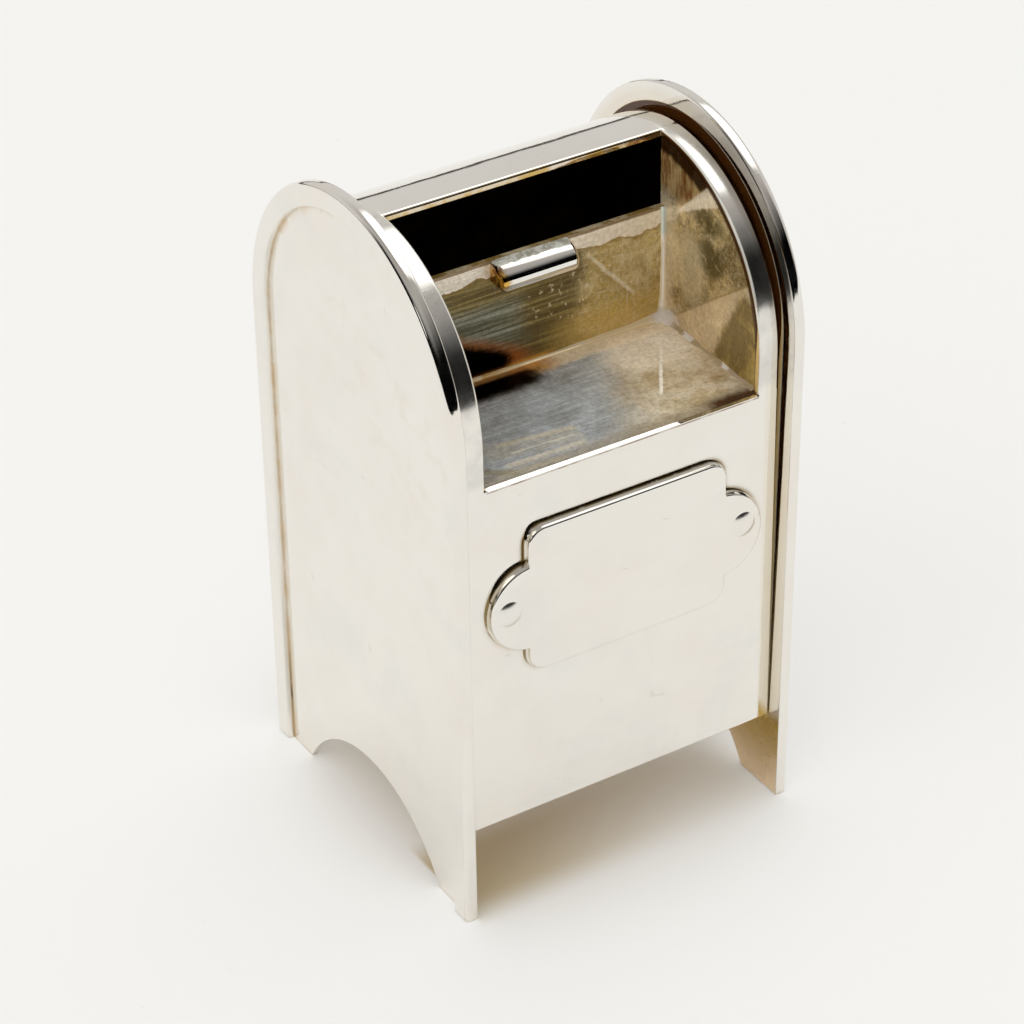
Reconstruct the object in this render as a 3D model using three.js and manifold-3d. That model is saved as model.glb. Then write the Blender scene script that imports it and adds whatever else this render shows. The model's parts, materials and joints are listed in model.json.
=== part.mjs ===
// A desk dispenser for a roll of stamps, in the form of an arch-topped letter box.
// Millimetres, +Z up, ground at Z = 0. The front faces -Y and the hinged side lid is at +X.

import * as THREE from 'three';
import { mergeVertices } from 'three/addons/utils/BufferGeometryUtils.js';
import Module from 'manifold-3d';

const wasm = await Module();
wasm.setup();

// Driving dimensions.
const STAMP_WIDTH = 25.4;
const STRIP_PLAY = 0.3;
const HEIGHT = 60.95;
const END_HALF_DEPTH = 16.2;
const END_PLATE_T = 0.6;
const RIM_T = 0.55;
const RIM_WIDTH = 2.05;
const SHEET_T = 0.6;
const PLATE_T = 0.5;
const BODY_HALF_DEPTH = 14.6;
const BODY_SPRING_Z = 44;
const BODY_BOTTOM_Z = 7.66;
const LEFT_FACE_X = -16.7;
const BODY_RIGHT_X = 14.8;

// Feet: the end plates are cut away below by an arc between two feet.
const FOOT_WIDTH = 5.3;
const FOOT_ARCH_RISE = 6.45;
const FOOT_ARCH_HALF = END_HALF_DEPTH - FOOT_WIDTH;
const FOOT_ARCH_R = (FOOT_ARCH_HALF ** 2 + FOOT_ARCH_RISE ** 2) / (2 * FOOT_ARCH_RISE);
const FOOT_ARCH_Z = FOOT_ARCH_RISE - FOOT_ARCH_R;

// Positions that follow from the driving dimensions.
const END_SPRING_Z = HEIGHT - END_HALF_DEPTH;
const LEFT_PLATE_X = LEFT_FACE_X + RIM_T;
const BODY_LEFT_X = LEFT_PLATE_X + END_PLATE_T;
const BODY_INNER_R = BODY_HALF_DEPTH - SHEET_T;

// Pocket behind the opening, with the slot for the stamps above its back wall.
const OPENING_HALF_X = STAMP_WIDTH / 2 + STRIP_PLAY;
const OPENING_BOTTOM_Z = 40.78;
const POCKET_BACK_Y = -0.8;
const OPENING_REAR_Y = POCKET_BACK_Y + PLATE_T;
const FLOOR_RISE = 0.5;
const BACK_TOP_Z = 51.87;
const BACK_SUNK = 0.2;
const CHEEK_GAP = 0.02;

// Pull bar on the back wall.
const PULL_LENGTH = 7.6;
const PULL_SLOPE = THREE.MathUtils.degToRad(26);
const PULL_SLOPE_LENGTH = 1.25;
const PULL_BROW_R = 1.45;
const PULL_BROW_END = THREE.MathUtils.degToRad(71);
const PULL_NOSE_R = 0.68;
const PULL_END_BEVEL = 0.3;

// Name plate and its two rivets.
const NAME_CENTRE_Z = 29.1;
const NAME_HALF_X = 9.7;
const NAME_HALF_Z = 7;
const NAME_CORNER_R = 1.75;
const NAME_EAR_R = 4.15;
const NAME_EAR_X = 9.15;
const NAME_EAR_DROP = 0.45;
const NAME_T = 0.7;
const NAME_BEVEL = 0.22;
const NAME_EAR_HALF_Z = Math.sqrt(NAME_EAR_R ** 2 - (NAME_HALF_X - NAME_EAR_X) ** 2);
const RIVET_LEFT = [-11.4, 28.8];
const RIVET_RIGHT = [11.3, 29.15];
const RIVET_HEAD_R = 1.15;
const RIVET_HEAD_H = 0.3;
const RIVET_SHANK_R = 0.45;
const RIVET_HOLE_R = 0.48;
const RIVET_TAIL_R = 0.8;
const RIVET_TAIL_H = 0.25;

// Lid at the right-hand end, hinged under the body, and standing slightly ajar.
const LID_CLEARANCE = 0.1;
const LID_FACE_X = BODY_RIGHT_X + LID_CLEARANCE;
const LID_RIM_X = LID_FACE_X + END_PLATE_T;
const LID_FOOT_LIFT = 0.05;
const LID_AJAR = THREE.MathUtils.degToRad(0.7);
const FLANGE_CLEARANCE = 0.25;
const FLANGE_T = 0.5;
const FLANGE_DEPTH = 1;
const FLANGE_BOTTOM_Z = 12;

// Hinge.
const HINGE_X = 13.3;
const HINGE_Z = 6.8;
const PIN_R = 0.36;
const PIN_PLAY = 0.04;
const PIN_HEAD_R = 0.6;
const PIN_HEAD_T = 0.3;
const KNUCKLE_R = 0.75;
const BODY_KNUCKLE_HALF_Y = 4.7;
const LID_KNUCKLE_START_Y = 5;
const LID_KNUCKLE_END_Y = 8;
const BODY_LEAF_LENGTH = 4.2;
const LID_LEAF_T = 0.5;
const LID_BRIDGE_WIDTH = 0.5;

const SILVER = { color: 0xe9e4da, roughness: 0.16, metalness: 1 };
const POCKET_SILVER = { color: 0xb59a63, roughness: 0.3, metalness: 1 };
const INNER_SILVER = { color: 0xa9997c, roughness: 0.4, metalness: 1 };
const PIN_STEEL = { color: 0xb8b8b8, roughness: 0.3, metalness: 1 };

const ARC_STEPS = 40;
const SMALL_ARC_STEPS = 8;
const ROUND_STEPS = 24;

// Maps a shape drawn in (Y, Z) and extruded towards its own +z into row space, extruded towards +X.
const TO_X = new THREE.Matrix4().set(0, 0, 1, 0, 1, 0, 0, 0, 0, 1, 0, 0, 0, 0, 0, 1);

function extrude(shape, depth, bevel, steps) {
  return new THREE.ExtrudeGeometry(shape, {
    depth: depth - 2 * bevel,
    bevelEnabled: bevel > 0,
    bevelThickness: bevel,
    bevelSize: bevel,
    bevelOffset: -bevel,
    bevelSegments: 2,
    curveSegments: steps,
  }).translate(0, 0, bevel);
}

function extrudeX(shape, x0, x1, bevel = 0, steps = ARC_STEPS) {
  return extrude(shape, x1 - x0, bevel, steps).applyMatrix4(TO_X).translate(x0, 0, 0);
}

// Extrudes a shape drawn in (X, Z) from the plane Y = yBack towards the front, which is -Y.
function extrudeFront(shape, yBack, depth, bevel = 0, steps = ARC_STEPS) {
  return extrude(shape, depth, bevel, steps).rotateX(Math.PI / 2).translate(0, yBack, 0);
}

function box(x0, x1, y0, y1, z0, z1) {
  const geometry = new THREE.BoxGeometry(x1 - x0, y1 - y0, z1 - z0);
  return geometry.translate((x0 + x1) / 2, (y0 + y1) / 2, (z0 + z1) / 2);
}

function barrel(radius, y0, y1) {
  const geometry = new THREE.CylinderGeometry(radius, radius, y1 - y0, ROUND_STEPS);
  return geometry.translate(HINGE_X, (y0 + y1) / 2, HINGE_Z);
}

function solid(geometry) {
  geometry.deleteAttribute('normal');
  geometry.deleteAttribute('uv');
  const merged = mergeVertices(geometry, 1e-5);
  const mesh = new wasm.Mesh({
    numProp: 3,
    vertProperties: new Float32Array(merged.attributes.position.array),
    triVerts: new Uint32Array(merged.index.array),
  });
  return new wasm.Manifold(mesh);
}

function fromSolid(manifold) {
  const mesh = manifold.getMesh();
  const geometry = new THREE.BufferGeometry();
  geometry.setAttribute('position', new THREE.BufferAttribute(mesh.vertProperties, 3));
  geometry.setIndex(new THREE.BufferAttribute(mesh.triVerts, 1));
  geometry.computeVertexNormals();
  return geometry;
}

function add(group, name, geometry, finish) {
  const mesh = new THREE.Mesh(geometry, new THREE.MeshStandardMaterial(finish));
  mesh.name = name;
  group.add(mesh);
  return mesh;
}

// An arch-topped band: two upright legs and a half round, between an outer and an inner radius.
function archBand(outerR, innerR, springZ, bottomZ) {
  const shape = new THREE.Shape();
  shape.moveTo(-outerR, bottomZ);
  shape.lineTo(-innerR, bottomZ);
  shape.lineTo(-innerR, springZ);
  shape.absarc(0, springZ, innerR, Math.PI, 0, true);
  shape.lineTo(innerR, bottomZ);
  shape.lineTo(outerR, bottomZ);
  shape.lineTo(outerR, springZ);
  shape.absarc(0, springZ, outerR, 0, Math.PI, false);
  shape.lineTo(-outerR, bottomZ);
  return shape;
}

// The end plate: arch-topped, with an arc cut away below between the feet.
function endPlateShape(bottomZ) {
  const toFoot = Math.asin((bottomZ - FOOT_ARCH_Z) / FOOT_ARCH_R);
  const shape = new THREE.Shape();
  shape.moveTo(-END_HALF_DEPTH, bottomZ);
  shape.absarc(0, FOOT_ARCH_Z, FOOT_ARCH_R, Math.PI - toFoot, toFoot, true);
  shape.lineTo(END_HALF_DEPTH, bottomZ);
  shape.lineTo(END_HALF_DEPTH, END_SPRING_Z);
  shape.absarc(0, END_SPRING_Z, END_HALF_DEPTH, 0, Math.PI, false);
  shape.lineTo(-END_HALF_DEPTH, bottomZ);
  return shape;
}

function endPlate(x0, bottomZ) {
  return extrudeX(endPlateShape(bottomZ), x0, x0 + END_PLATE_T, 0.1);
}

function endRim(x0, bottomZ) {
  const shape = archBand(END_HALF_DEPTH, END_HALF_DEPTH - RIM_WIDTH, END_SPRING_Z, bottomZ);
  return extrudeX(shape, x0, x0 + RIM_T, 0.18);
}

// The body: one sheet bent into front, arch and back, with the opening cut through it.
function bodyWrap() {
  const shape = archBand(BODY_HALF_DEPTH, BODY_INNER_R, BODY_SPRING_Z, BODY_BOTTOM_Z);
  let sheet = solid(extrudeX(shape, BODY_LEFT_X, BODY_RIGHT_X));
  const frontY = -BODY_HALF_DEPTH - 1;
  const topZ = HEIGHT + 1;
  const opening = box(-OPENING_HALF_X, OPENING_HALF_X, frontY, OPENING_REAR_Y, OPENING_BOTTOM_Z, topZ);
  sheet = sheet.subtract(solid(opening));
  for (const at of [RIVET_LEFT, RIVET_RIGHT]) {
    sheet = sheet.subtract(solid(rivetHole(at)));
  }
  return fromSolid(sheet);
}

function bottomPlate() {
  const topZ = BODY_BOTTOM_Z + SHEET_T;
  return box(BODY_LEFT_X, BODY_RIGHT_X, -BODY_INNER_R, BODY_INNER_R, BODY_BOTTOM_Z, topZ);
}

// The floor rises slightly from the front edge of the opening to the back wall.
function pocketFloor() {
  const rearZ = OPENING_BOTTOM_Z + FLOOR_RISE;
  const shape = new THREE.Shape();
  shape.moveTo(-BODY_INNER_R, OPENING_BOTTOM_Z - PLATE_T);
  shape.lineTo(POCKET_BACK_Y, rearZ - PLATE_T);
  shape.lineTo(POCKET_BACK_Y, rearZ);
  shape.lineTo(-BODY_INNER_R, OPENING_BOTTOM_Z);
  shape.lineTo(-BODY_INNER_R, OPENING_BOTTOM_Z - PLATE_T);
  return extrudeX(shape, -OPENING_HALF_X, OPENING_HALF_X);
}

function pocketBack() {
  const bottomZ = OPENING_BOTTOM_Z + FLOOR_RISE - PLATE_T - BACK_SUNK;
  return box(-OPENING_HALF_X, OPENING_HALF_X, POCKET_BACK_Y, OPENING_REAR_Y, bottomZ, BACK_TOP_Z);
}

// A cheek closes one side of the pocket, up to the underside of the arch.
function pocketCheek(x0) {
  const bottomZ = OPENING_BOTTOM_Z - PLATE_T;
  const radius = BODY_INNER_R - CHEEK_GAP;
  const rearAngle = Math.acos(OPENING_REAR_Y / radius);
  const shape = new THREE.Shape();
  shape.moveTo(-radius, bottomZ);
  shape.lineTo(OPENING_REAR_Y, bottomZ);
  shape.absarc(0, BODY_SPRING_Z, radius, rearAngle, Math.PI, false);
  shape.lineTo(-radius, bottomZ);
  return extrudeX(shape, x0, x0 + PLATE_T);
}

// A bar with a flat back, a sloping top and a rounded front.
function pullBar() {
  const quarter = Math.PI / 2;
  const slopeY = POCKET_BACK_Y - PULL_SLOPE_LENGTH * Math.cos(PULL_SLOPE);
  const slopeZ = BACK_TOP_Z - PULL_SLOPE_LENGTH * Math.sin(PULL_SLOPE);
  const browY = slopeY + PULL_BROW_R * Math.sin(PULL_SLOPE);
  const browZ = slopeZ - PULL_BROW_R * Math.cos(PULL_SLOPE);
  const step = PULL_BROW_R - PULL_NOSE_R;
  const noseY = browY - step * Math.sin(PULL_BROW_END);
  const noseZ = browZ + step * Math.cos(PULL_BROW_END);
  const shape = new THREE.Shape();
  shape.moveTo(POCKET_BACK_Y, noseZ - PULL_NOSE_R);
  shape.lineTo(POCKET_BACK_Y, BACK_TOP_Z);
  shape.lineTo(slopeY, slopeZ);
  shape.absarc(browY, browZ, PULL_BROW_R, quarter + PULL_SLOPE, quarter + PULL_BROW_END, false);
  shape.absarc(noseY, noseZ, PULL_NOSE_R, quarter + PULL_BROW_END, 3 * quarter, false);
  shape.lineTo(POCKET_BACK_Y, noseZ - PULL_NOSE_R);
  return extrudeX(shape, -PULL_LENGTH / 2, PULL_LENGTH / 2, PULL_END_BEVEL, SMALL_ARC_STEPS * 2);
}

// A rounded rectangle with a round ear at each end.
function namePlateShape() {
  const earAngle = Math.asin(NAME_EAR_HALF_Z / NAME_EAR_R);
  const cornerX = NAME_HALF_X - NAME_CORNER_R;
  const cornerZ = NAME_HALF_Z - NAME_CORNER_R;
  const quarter = Math.PI / 2;
  const shape = new THREE.Shape();
  shape.moveTo(-cornerX, -NAME_HALF_Z);
  shape.absarc(cornerX, -cornerZ, NAME_CORNER_R, -quarter, 0, false);
  shape.absarc(NAME_EAR_X, -NAME_EAR_DROP, NAME_EAR_R, -earAngle, earAngle, false);
  shape.absarc(cornerX, cornerZ, NAME_CORNER_R, 0, quarter, false);
  shape.absarc(-cornerX, cornerZ, NAME_CORNER_R, quarter, 2 * quarter, false);
  shape.absarc(-NAME_EAR_X, -NAME_EAR_DROP, NAME_EAR_R, Math.PI - earAngle, Math.PI + earAngle, false);
  shape.absarc(-cornerX, -cornerZ, NAME_CORNER_R, 2 * quarter, 3 * quarter, false);
  return shape;
}

function namePlate() {
  const shape = namePlateShape();
  const geometry = extrudeFront(shape, -BODY_HALF_DEPTH, NAME_T, NAME_BEVEL, SMALL_ARC_STEPS * 2);
  let plate = solid(geometry.translate(0, 0, NAME_CENTRE_Z));
  for (const at of [RIVET_LEFT, RIVET_RIGHT]) {
    plate = plate.subtract(solid(rivetHole(at)));
  }
  return fromSolid(plate);
}

function rivetHole([x, z]) {
  const length = 2 * (NAME_T + SHEET_T);
  const hole = new THREE.CylinderGeometry(RIVET_HOLE_R, RIVET_HOLE_R, length, ROUND_STEPS);
  return hole.translate(x, -BODY_HALF_DEPTH, z);
}

// A rivet turned about its own axis: tail inside the sheet, shank, and domed head on the plate.
function rivet([x, z]) {
  const grip = NAME_T + SHEET_T;
  const domeR = (RIVET_HEAD_R ** 2 + RIVET_HEAD_H ** 2) / (2 * RIVET_HEAD_H);
  const profile = [
    new THREE.Vector2(0, -RIVET_TAIL_H),
    new THREE.Vector2(RIVET_TAIL_R, -RIVET_TAIL_H),
    new THREE.Vector2(RIVET_TAIL_R, 0),
    new THREE.Vector2(RIVET_SHANK_R, 0),
    new THREE.Vector2(RIVET_SHANK_R, grip),
    new THREE.Vector2(RIVET_HEAD_R, grip),
  ];
  for (let i = 1; i < SMALL_ARC_STEPS; i += 1) {
    const r = RIVET_HEAD_R * (1 - i / SMALL_ARC_STEPS);
    const height = Math.sqrt(domeR ** 2 - r ** 2) - (domeR - RIVET_HEAD_H);
    profile.push(new THREE.Vector2(r, grip + height));
  }
  profile.push(new THREE.Vector2(0, grip + RIVET_HEAD_H));
  const geometry = new THREE.LatheGeometry(profile, ROUND_STEPS);
  return geometry.rotateX(Math.PI).translate(x, -BODY_INNER_R, z);
}

// The flange plugs into the body's end and keeps the closed lid in line.
function lidFlange() {
  const outerR = BODY_INNER_R - FLANGE_CLEARANCE;
  const shape = archBand(outerR, outerR - FLANGE_T, BODY_SPRING_Z, FLANGE_BOTTOM_Z);
  return extrudeX(shape, LID_FACE_X - FLANGE_DEPTH, LID_FACE_X);
}

// The leaf under the body carries the middle knuckle.
function bodyHingeLeaf() {
  const leafZ = BODY_BOTTOM_Z - PLATE_T;
  const halfY = BODY_KNUCKLE_HALF_Y;
  const leaf = box(HINGE_X - BODY_LEAF_LENGTH, HINGE_X, -halfY, halfY, leafZ, BODY_BOTTOM_Z);
  const knuckle = solid(barrel(KNUCKLE_R, -halfY, halfY));
  const bore = solid(barrel(PIN_R + PIN_PLAY, -halfY - 1, halfY + 1));
  return fromSolid(solid(leaf).add(knuckle).subtract(bore));
}

// The leaf on the lid carries the two outer knuckles, joined by a bridge along the lid's face.
function lidHingeLeaf() {
  const z0 = HINGE_Z - LID_LEAF_T / 2;
  const z1 = HINGE_Z + LID_LEAF_T / 2;
  const start = LID_KNUCKLE_START_Y;
  const end = LID_KNUCKLE_END_Y;
  let leaf = solid(box(LID_FACE_X - LID_BRIDGE_WIDTH, LID_FACE_X, -end, end, z0, z1));
  for (const [y0, y1] of [[-end, -start], [start, end]]) {
    leaf = leaf.add(solid(box(HINGE_X, LID_FACE_X - LID_BRIDGE_WIDTH / 2, y0, y1, z0, z1)));
    leaf = leaf.add(solid(barrel(KNUCKLE_R, y0, y1)));
    leaf = leaf.subtract(solid(barrel(PIN_R + PIN_PLAY, y0 - 0.1, y1 + 0.1)));
  }
  return fromSolid(leaf);
}

// The pin turns with the lid, with a peened head against each outer knuckle.
function hingePin() {
  const end = LID_KNUCKLE_END_Y;
  const profile = [
    new THREE.Vector2(0, -end - PIN_HEAD_T),
    new THREE.Vector2(PIN_HEAD_R, -end - PIN_HEAD_T),
    new THREE.Vector2(PIN_HEAD_R, -end),
    new THREE.Vector2(PIN_R, -end),
    new THREE.Vector2(PIN_R, end),
    new THREE.Vector2(PIN_HEAD_R, end),
    new THREE.Vector2(PIN_HEAD_R, end + PIN_HEAD_T),
    new THREE.Vector2(0, end + PIN_HEAD_T),
  ];
  return new THREE.LatheGeometry(profile, ROUND_STEPS).translate(HINGE_X, 0, HINGE_Z);
}

const dispenser = new THREE.Group();
dispenser.name = 'stamp_dispenser';

const body = new THREE.Group();
body.name = 'body_group';
dispenser.add(body);
add(body, 'left_side_plate', endPlate(LEFT_PLATE_X, 0), SILVER);
add(body, 'left_rim', endRim(LEFT_FACE_X, 0), SILVER);
add(body, 'body_wrap', bodyWrap(), SILVER);
add(body, 'bottom_plate', bottomPlate(), INNER_SILVER);
add(body, 'pocket_floor', pocketFloor(), POCKET_SILVER);
add(body, 'pocket_back', pocketBack(), POCKET_SILVER);
add(body, 'left_cheek', pocketCheek(-OPENING_HALF_X - PLATE_T), POCKET_SILVER);
add(body, 'right_cheek', pocketCheek(OPENING_HALF_X), POCKET_SILVER);
add(body, 'pull_bar', pullBar(), SILVER);
add(body, 'name_plate', namePlate(), SILVER);
add(body, 'rivet_left', rivet(RIVET_LEFT), SILVER);
add(body, 'rivet_right', rivet(RIVET_RIGHT), SILVER);
add(body, 'body_hinge_leaf', bodyHingeLeaf(), INNER_SILVER);

// The lid's pieces are drawn closed, in row space, then turned together about the hinge axis.
const lid = new THREE.Group();
lid.name = 'lid_group';
lid.position.set(HINGE_X, 0, HINGE_Z);
lid.rotation.y = LID_AJAR;
dispenser.add(lid);
const lidPieces = [
  add(lid, 'lid_plate', endPlate(LID_FACE_X, LID_FOOT_LIFT), SILVER),
  add(lid, 'lid_rim', endRim(LID_RIM_X, LID_FOOT_LIFT), SILVER),
  add(lid, 'lid_flange', lidFlange(), INNER_SILVER),
  add(lid, 'lid_hinge_leaf', lidHingeLeaf(), INNER_SILVER),
  add(lid, 'hinge_pin', hingePin(), PIN_STEEL),
];
for (const piece of lidPieces) {
  piece.position.set(-HINGE_X, 0, -HINGE_Z);
}

export default dispenser;
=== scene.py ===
"""A polished silver stamp-roll dispenser in letter-box form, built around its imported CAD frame."""

import json
import math

import bmesh
import bpy
from mathutils import Matrix, Vector


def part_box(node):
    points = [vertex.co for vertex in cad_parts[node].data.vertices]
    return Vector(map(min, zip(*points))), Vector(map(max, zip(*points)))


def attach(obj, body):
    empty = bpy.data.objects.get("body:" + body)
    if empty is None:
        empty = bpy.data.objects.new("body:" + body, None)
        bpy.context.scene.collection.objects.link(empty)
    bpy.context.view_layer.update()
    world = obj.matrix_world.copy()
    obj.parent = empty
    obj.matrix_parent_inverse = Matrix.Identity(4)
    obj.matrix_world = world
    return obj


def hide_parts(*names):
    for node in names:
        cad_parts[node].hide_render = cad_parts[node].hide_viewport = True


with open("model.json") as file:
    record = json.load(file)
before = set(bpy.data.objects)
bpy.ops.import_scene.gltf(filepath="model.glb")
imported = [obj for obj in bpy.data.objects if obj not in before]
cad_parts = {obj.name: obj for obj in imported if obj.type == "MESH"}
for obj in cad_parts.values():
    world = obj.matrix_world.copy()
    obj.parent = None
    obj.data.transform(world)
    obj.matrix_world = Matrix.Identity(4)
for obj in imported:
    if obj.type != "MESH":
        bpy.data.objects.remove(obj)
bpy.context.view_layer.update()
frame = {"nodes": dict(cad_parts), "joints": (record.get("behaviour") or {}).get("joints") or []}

MM = 0.001


# ---------------------------------------------------------------- dimensions, from the CAD boxes (mm)


def box_mm(node):
    low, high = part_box(node)
    return low / MM, high / MM


plate_lo, plate_hi = box_mm("left_side_plate")
rim_lo, rim_hi = box_mm("left_rim")
wrap_lo, wrap_hi = box_mm("body_wrap")
floor_lo, floor_hi = box_mm("pocket_floor")
back_lo, back_hi = box_mm("pocket_back")
cheek_lo, cheek_hi = box_mm("right_cheek")
bar_lo, bar_hi = box_mm("pull_bar")
name_lo, name_hi = box_mm("name_plate")

END_R = plate_hi.y
END_SPRING = plate_hi.z - END_R
RIM_WIDTH = 2.05
SHEET_T = floor_lo.y - wrap_lo.y
BODY_R = wrap_hi.y
BODY_SPRING = wrap_hi.z - BODY_R
FOOT_ARCH_RISE = 6.45
FOOT_ARCH_HALF = END_R - 5.3
LID_CLEARANCE = 0.1
LID_FOOT_LIFT = 0.05
PLATE_T = plate_hi.x - plate_lo.x
RIM_T = rim_hi.x - rim_lo.x
LID_X = wrap_hi.x + LID_CLEARANCE
OPEN_X = floor_hi.x
OPEN_Z = floor_hi.z - 0.5
OPEN_REAR_Y = back_hi.y

hinge = frame["joints"][0]
HINGE_AT = Vector(hinge["pos_m"])
AJAR = -math.radians(hinge["range_deg"][0])


# ---------------------------------------------------------------- mesh helpers


def along_x(u, v, w):
    """A point of a (Y, Z) outline at depth w along +X."""
    return (w, u, v)


def along_front(u, v, w):
    """A point of an (X, Z) outline at depth w towards the front."""
    return (u, -w, v)


def arc(cu, cv, radius, start, end, steps):
    """Points on an arc, angles in degrees, both ends included."""
    out = []
    for i in range(steps + 1):
        a = math.radians(start + (end - start) * i / steps)
        out.append((cu + radius * math.cos(a), cv + radius * math.sin(a)))
    return out


def offset_outline(outline, amount, weight):
    """The outline moved inwards by amount, times weight(u, v) at the middle of each edge."""
    count = len(outline)
    following = outline[1:] + outline[:1]
    area = sum(u0 * v1 - u1 * v0 for (u0, v0), (u1, v1) in zip(outline, following))
    side = 1.0 if area > 0 else -1.0
    normals, shifts = [], []
    for (u0, v0), (u1, v1) in zip(outline, following):
        length = math.hypot(u1 - u0, v1 - v0)
        normals.append((-side * (v1 - v0) / length, side * (u1 - u0) / length))
        shifts.append(amount * weight((u0 + u1) / 2, (v0 + v1) / 2))
    moved = []
    for i in range(count):
        (a, b), (c, d) = normals[i - 1], normals[i]
        e, f = shifts[i - 1], shifts[i]
        det = a * d - b * c
        if abs(det) < 0.002:
            du, dv = (a + c) / 2 * (e + f) / 2, (b + d) / 2 * (e + f) / 2
        else:
            du, dv = (e * d - b * f) / det, (a * f - e * c) / det
        moved.append((outline[i][0] + du, outline[i][1] + dv))
    return moved


def join_rings(bm, rings):
    """Faces between each ring of vertices and the next."""
    count = len(rings[0])
    for a, b in zip(rings, rings[1:]):
        for i in range(count):
            j = (i + 1) % count
            bm.faces.new((a[i], a[j], b[j], b[i]))


def skin(bm, rings):
    """A closed solid through rings of points."""
    rings = [[bm.verts.new(p) for p in ring] for ring in rings]
    bm.faces.new(list(reversed(rings[0])))
    bm.faces.new(rings[-1])
    join_rings(bm, rings)
    return bm


def loft(outline, stations, place, weight=lambda u, v: 1.0):
    """A closed solid through copies of an outline; each station is (inset, depth)."""
    rings = []
    for inset, depth in stations:
        rings.append([place(u, v, depth) for u, v in offset_outline(outline, inset, weight)])
    return skin(bmesh.new(), rings)


def to_object(bm, name, material, body, nodes=(), sharp=40.0, turn=None, weigh=True):
    """Makes the piece from a bmesh in millimetres: smooth, and with weigh its flat faces stay flat."""
    bmesh.ops.recalc_face_normals(bm, faces=bm.faces)
    bmesh.ops.scale(bm, vec=(MM, MM, MM), verts=bm.verts)
    if turn is not None:
        bmesh.ops.transform(bm, matrix=turn, verts=bm.verts)
    mesh = bpy.data.meshes.new(name)
    bm.to_mesh(mesh)
    bm.free()
    for polygon in mesh.polygons:
        polygon.use_smooth = True
    mesh.set_sharp_from_angle(angle=math.radians(sharp))
    mesh.materials.append(material)
    obj = bpy.data.objects.new(name, mesh)
    bpy.context.scene.collection.objects.link(obj)
    if weigh:
        weighted = obj.modifiers.new("weighted", "WEIGHTED_NORMAL")
        weighted.keep_sharp = True
        weighted.weight = 80
    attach(obj, body)
    if nodes:
        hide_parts(*nodes)
    return obj


# ---------------------------------------------------------------- material helpers


class Field:
    """A node's output, with arithmetic that makes math nodes."""

    def __init__(self, nodes, socket):
        self.nodes = nodes
        self.socket = socket

    def output(self, key):
        """Another output of the same node."""
        return Field(self.nodes, self.socket.node.outputs[key])

    def __add__(self, other):
        return self.nodes.math("ADD", self, other)

    def __sub__(self, other):
        return self.nodes.math("SUBTRACT", self, other)

    def __rsub__(self, other):
        return self.nodes.math("SUBTRACT", other, self)

    def __mul__(self, other):
        return self.nodes.math("MULTIPLY", self, other)

    def __truediv__(self, other):
        return self.nodes.math("DIVIDE", self, other)

    def __abs__(self):
        return self.nodes.math("ABSOLUTE", self)


class Nodes:
    """A small builder for node trees: inputs may be values, RGB colours or other nodes' outputs."""

    def __init__(self, tree):
        self.tree = tree
        self.tree.nodes.clear()

    def make(self, kind, inputs=None, output=0, **settings):
        node = self.tree.nodes.new(kind)
        for key, value in settings.items():
            setattr(node, key, value)
        for key, value in (inputs or {}).items():
            socket = node.inputs[key]
            if isinstance(value, Field):
                self.tree.links.new(value.socket, socket)
            elif socket.type == "RGBA":
                socket.default_value = (*value, 1.0)
            else:
                socket.default_value = value
        return Field(self, node.outputs[output]) if len(node.outputs) else None

    def math(self, operation, a, b=0.0, clamp=False):
        return self.make("ShaderNodeMath", {0: a, 1: b}, operation=operation, use_clamp=clamp)

    def root_of_squares(self, a, b):
        return self.math("SQRT", a * a + b * b)

    def larger(self, a, b):
        return self.math("MAXIMUM", a, b)

    def mix(self, factor, a, b):
        """Between two colours."""
        sockets = {0: factor, 6: a, 7: b}
        return self.make("ShaderNodeMix", sockets, output=2, data_type="RGBA", clamp_factor=True)

    def lerp(self, factor, a, b):
        """Between two numbers."""
        sockets = {0: factor, 2: a, 3: b}
        return self.make("ShaderNodeMix", sockets, data_type="FLOAT", clamp_factor=True)

    def ramp(self, value, low, high, a=0.0, b=1.0):
        """From a at low to b at high, with soft ends."""
        sizes = {0: value, 1: low, 2: high, 3: a, 4: b}
        return self.make("ShaderNodeMapRange", sizes, interpolation_type="SMOOTHSTEP")

    def noise(self, vector, scale, detail=4.0, rough=0.55, distortion=0.0):
        inputs = {"Vector": vector, "Scale": scale, "Detail": detail, "Roughness": rough}
        inputs["Distortion"] = distortion
        return self.make("ShaderNodeTexNoise", inputs)

    def stretch(self, vector, scale, turn=(0.0, 0.0, 0.0)):
        return self.make("ShaderNodeMapping", {"Vector": vector, "Scale": scale, "Rotation": turn})

    def scratches(self, vector, scale, turn):
        """Noise drawn out into fine lines."""
        return self.noise(self.stretch(vector, scale, turn), 1.0, 2.0, 0.5)

    def split(self, vector):
        split = self.make("ShaderNodeSeparateXYZ", {0: vector})
        return split, split.output(1), split.output(2)

    def normal(self):
        """The unturned surface direction, as X, Y and Z."""
        return self.split(self.make("ShaderNodeTexCoord", output=1))

    def towards(self, vector, unit):
        """The cosine of the angle between a vector and a fixed direction."""
        return self.make("ShaderNodeVectorMath", {0: vector, 1: unit}, output=1, operation="DOT_PRODUCT")

    def bump(self, height, strength, distance, below=None):
        inputs = {"Strength": strength, "Distance": distance, "Height": height}
        if below is not None:
            inputs["Normal"] = below
        return self.make("ShaderNodeBump", inputs)


def rgb(r, g, b):
    """A colour given as 0-255 display values, as linear RGB."""

    def linear(c):
        c /= 255.0
        return c / 12.92 if c <= 0.04045 else ((c + 0.055) / 1.055) ** 2.4

    return (linear(r), linear(g), linear(b))


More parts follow.
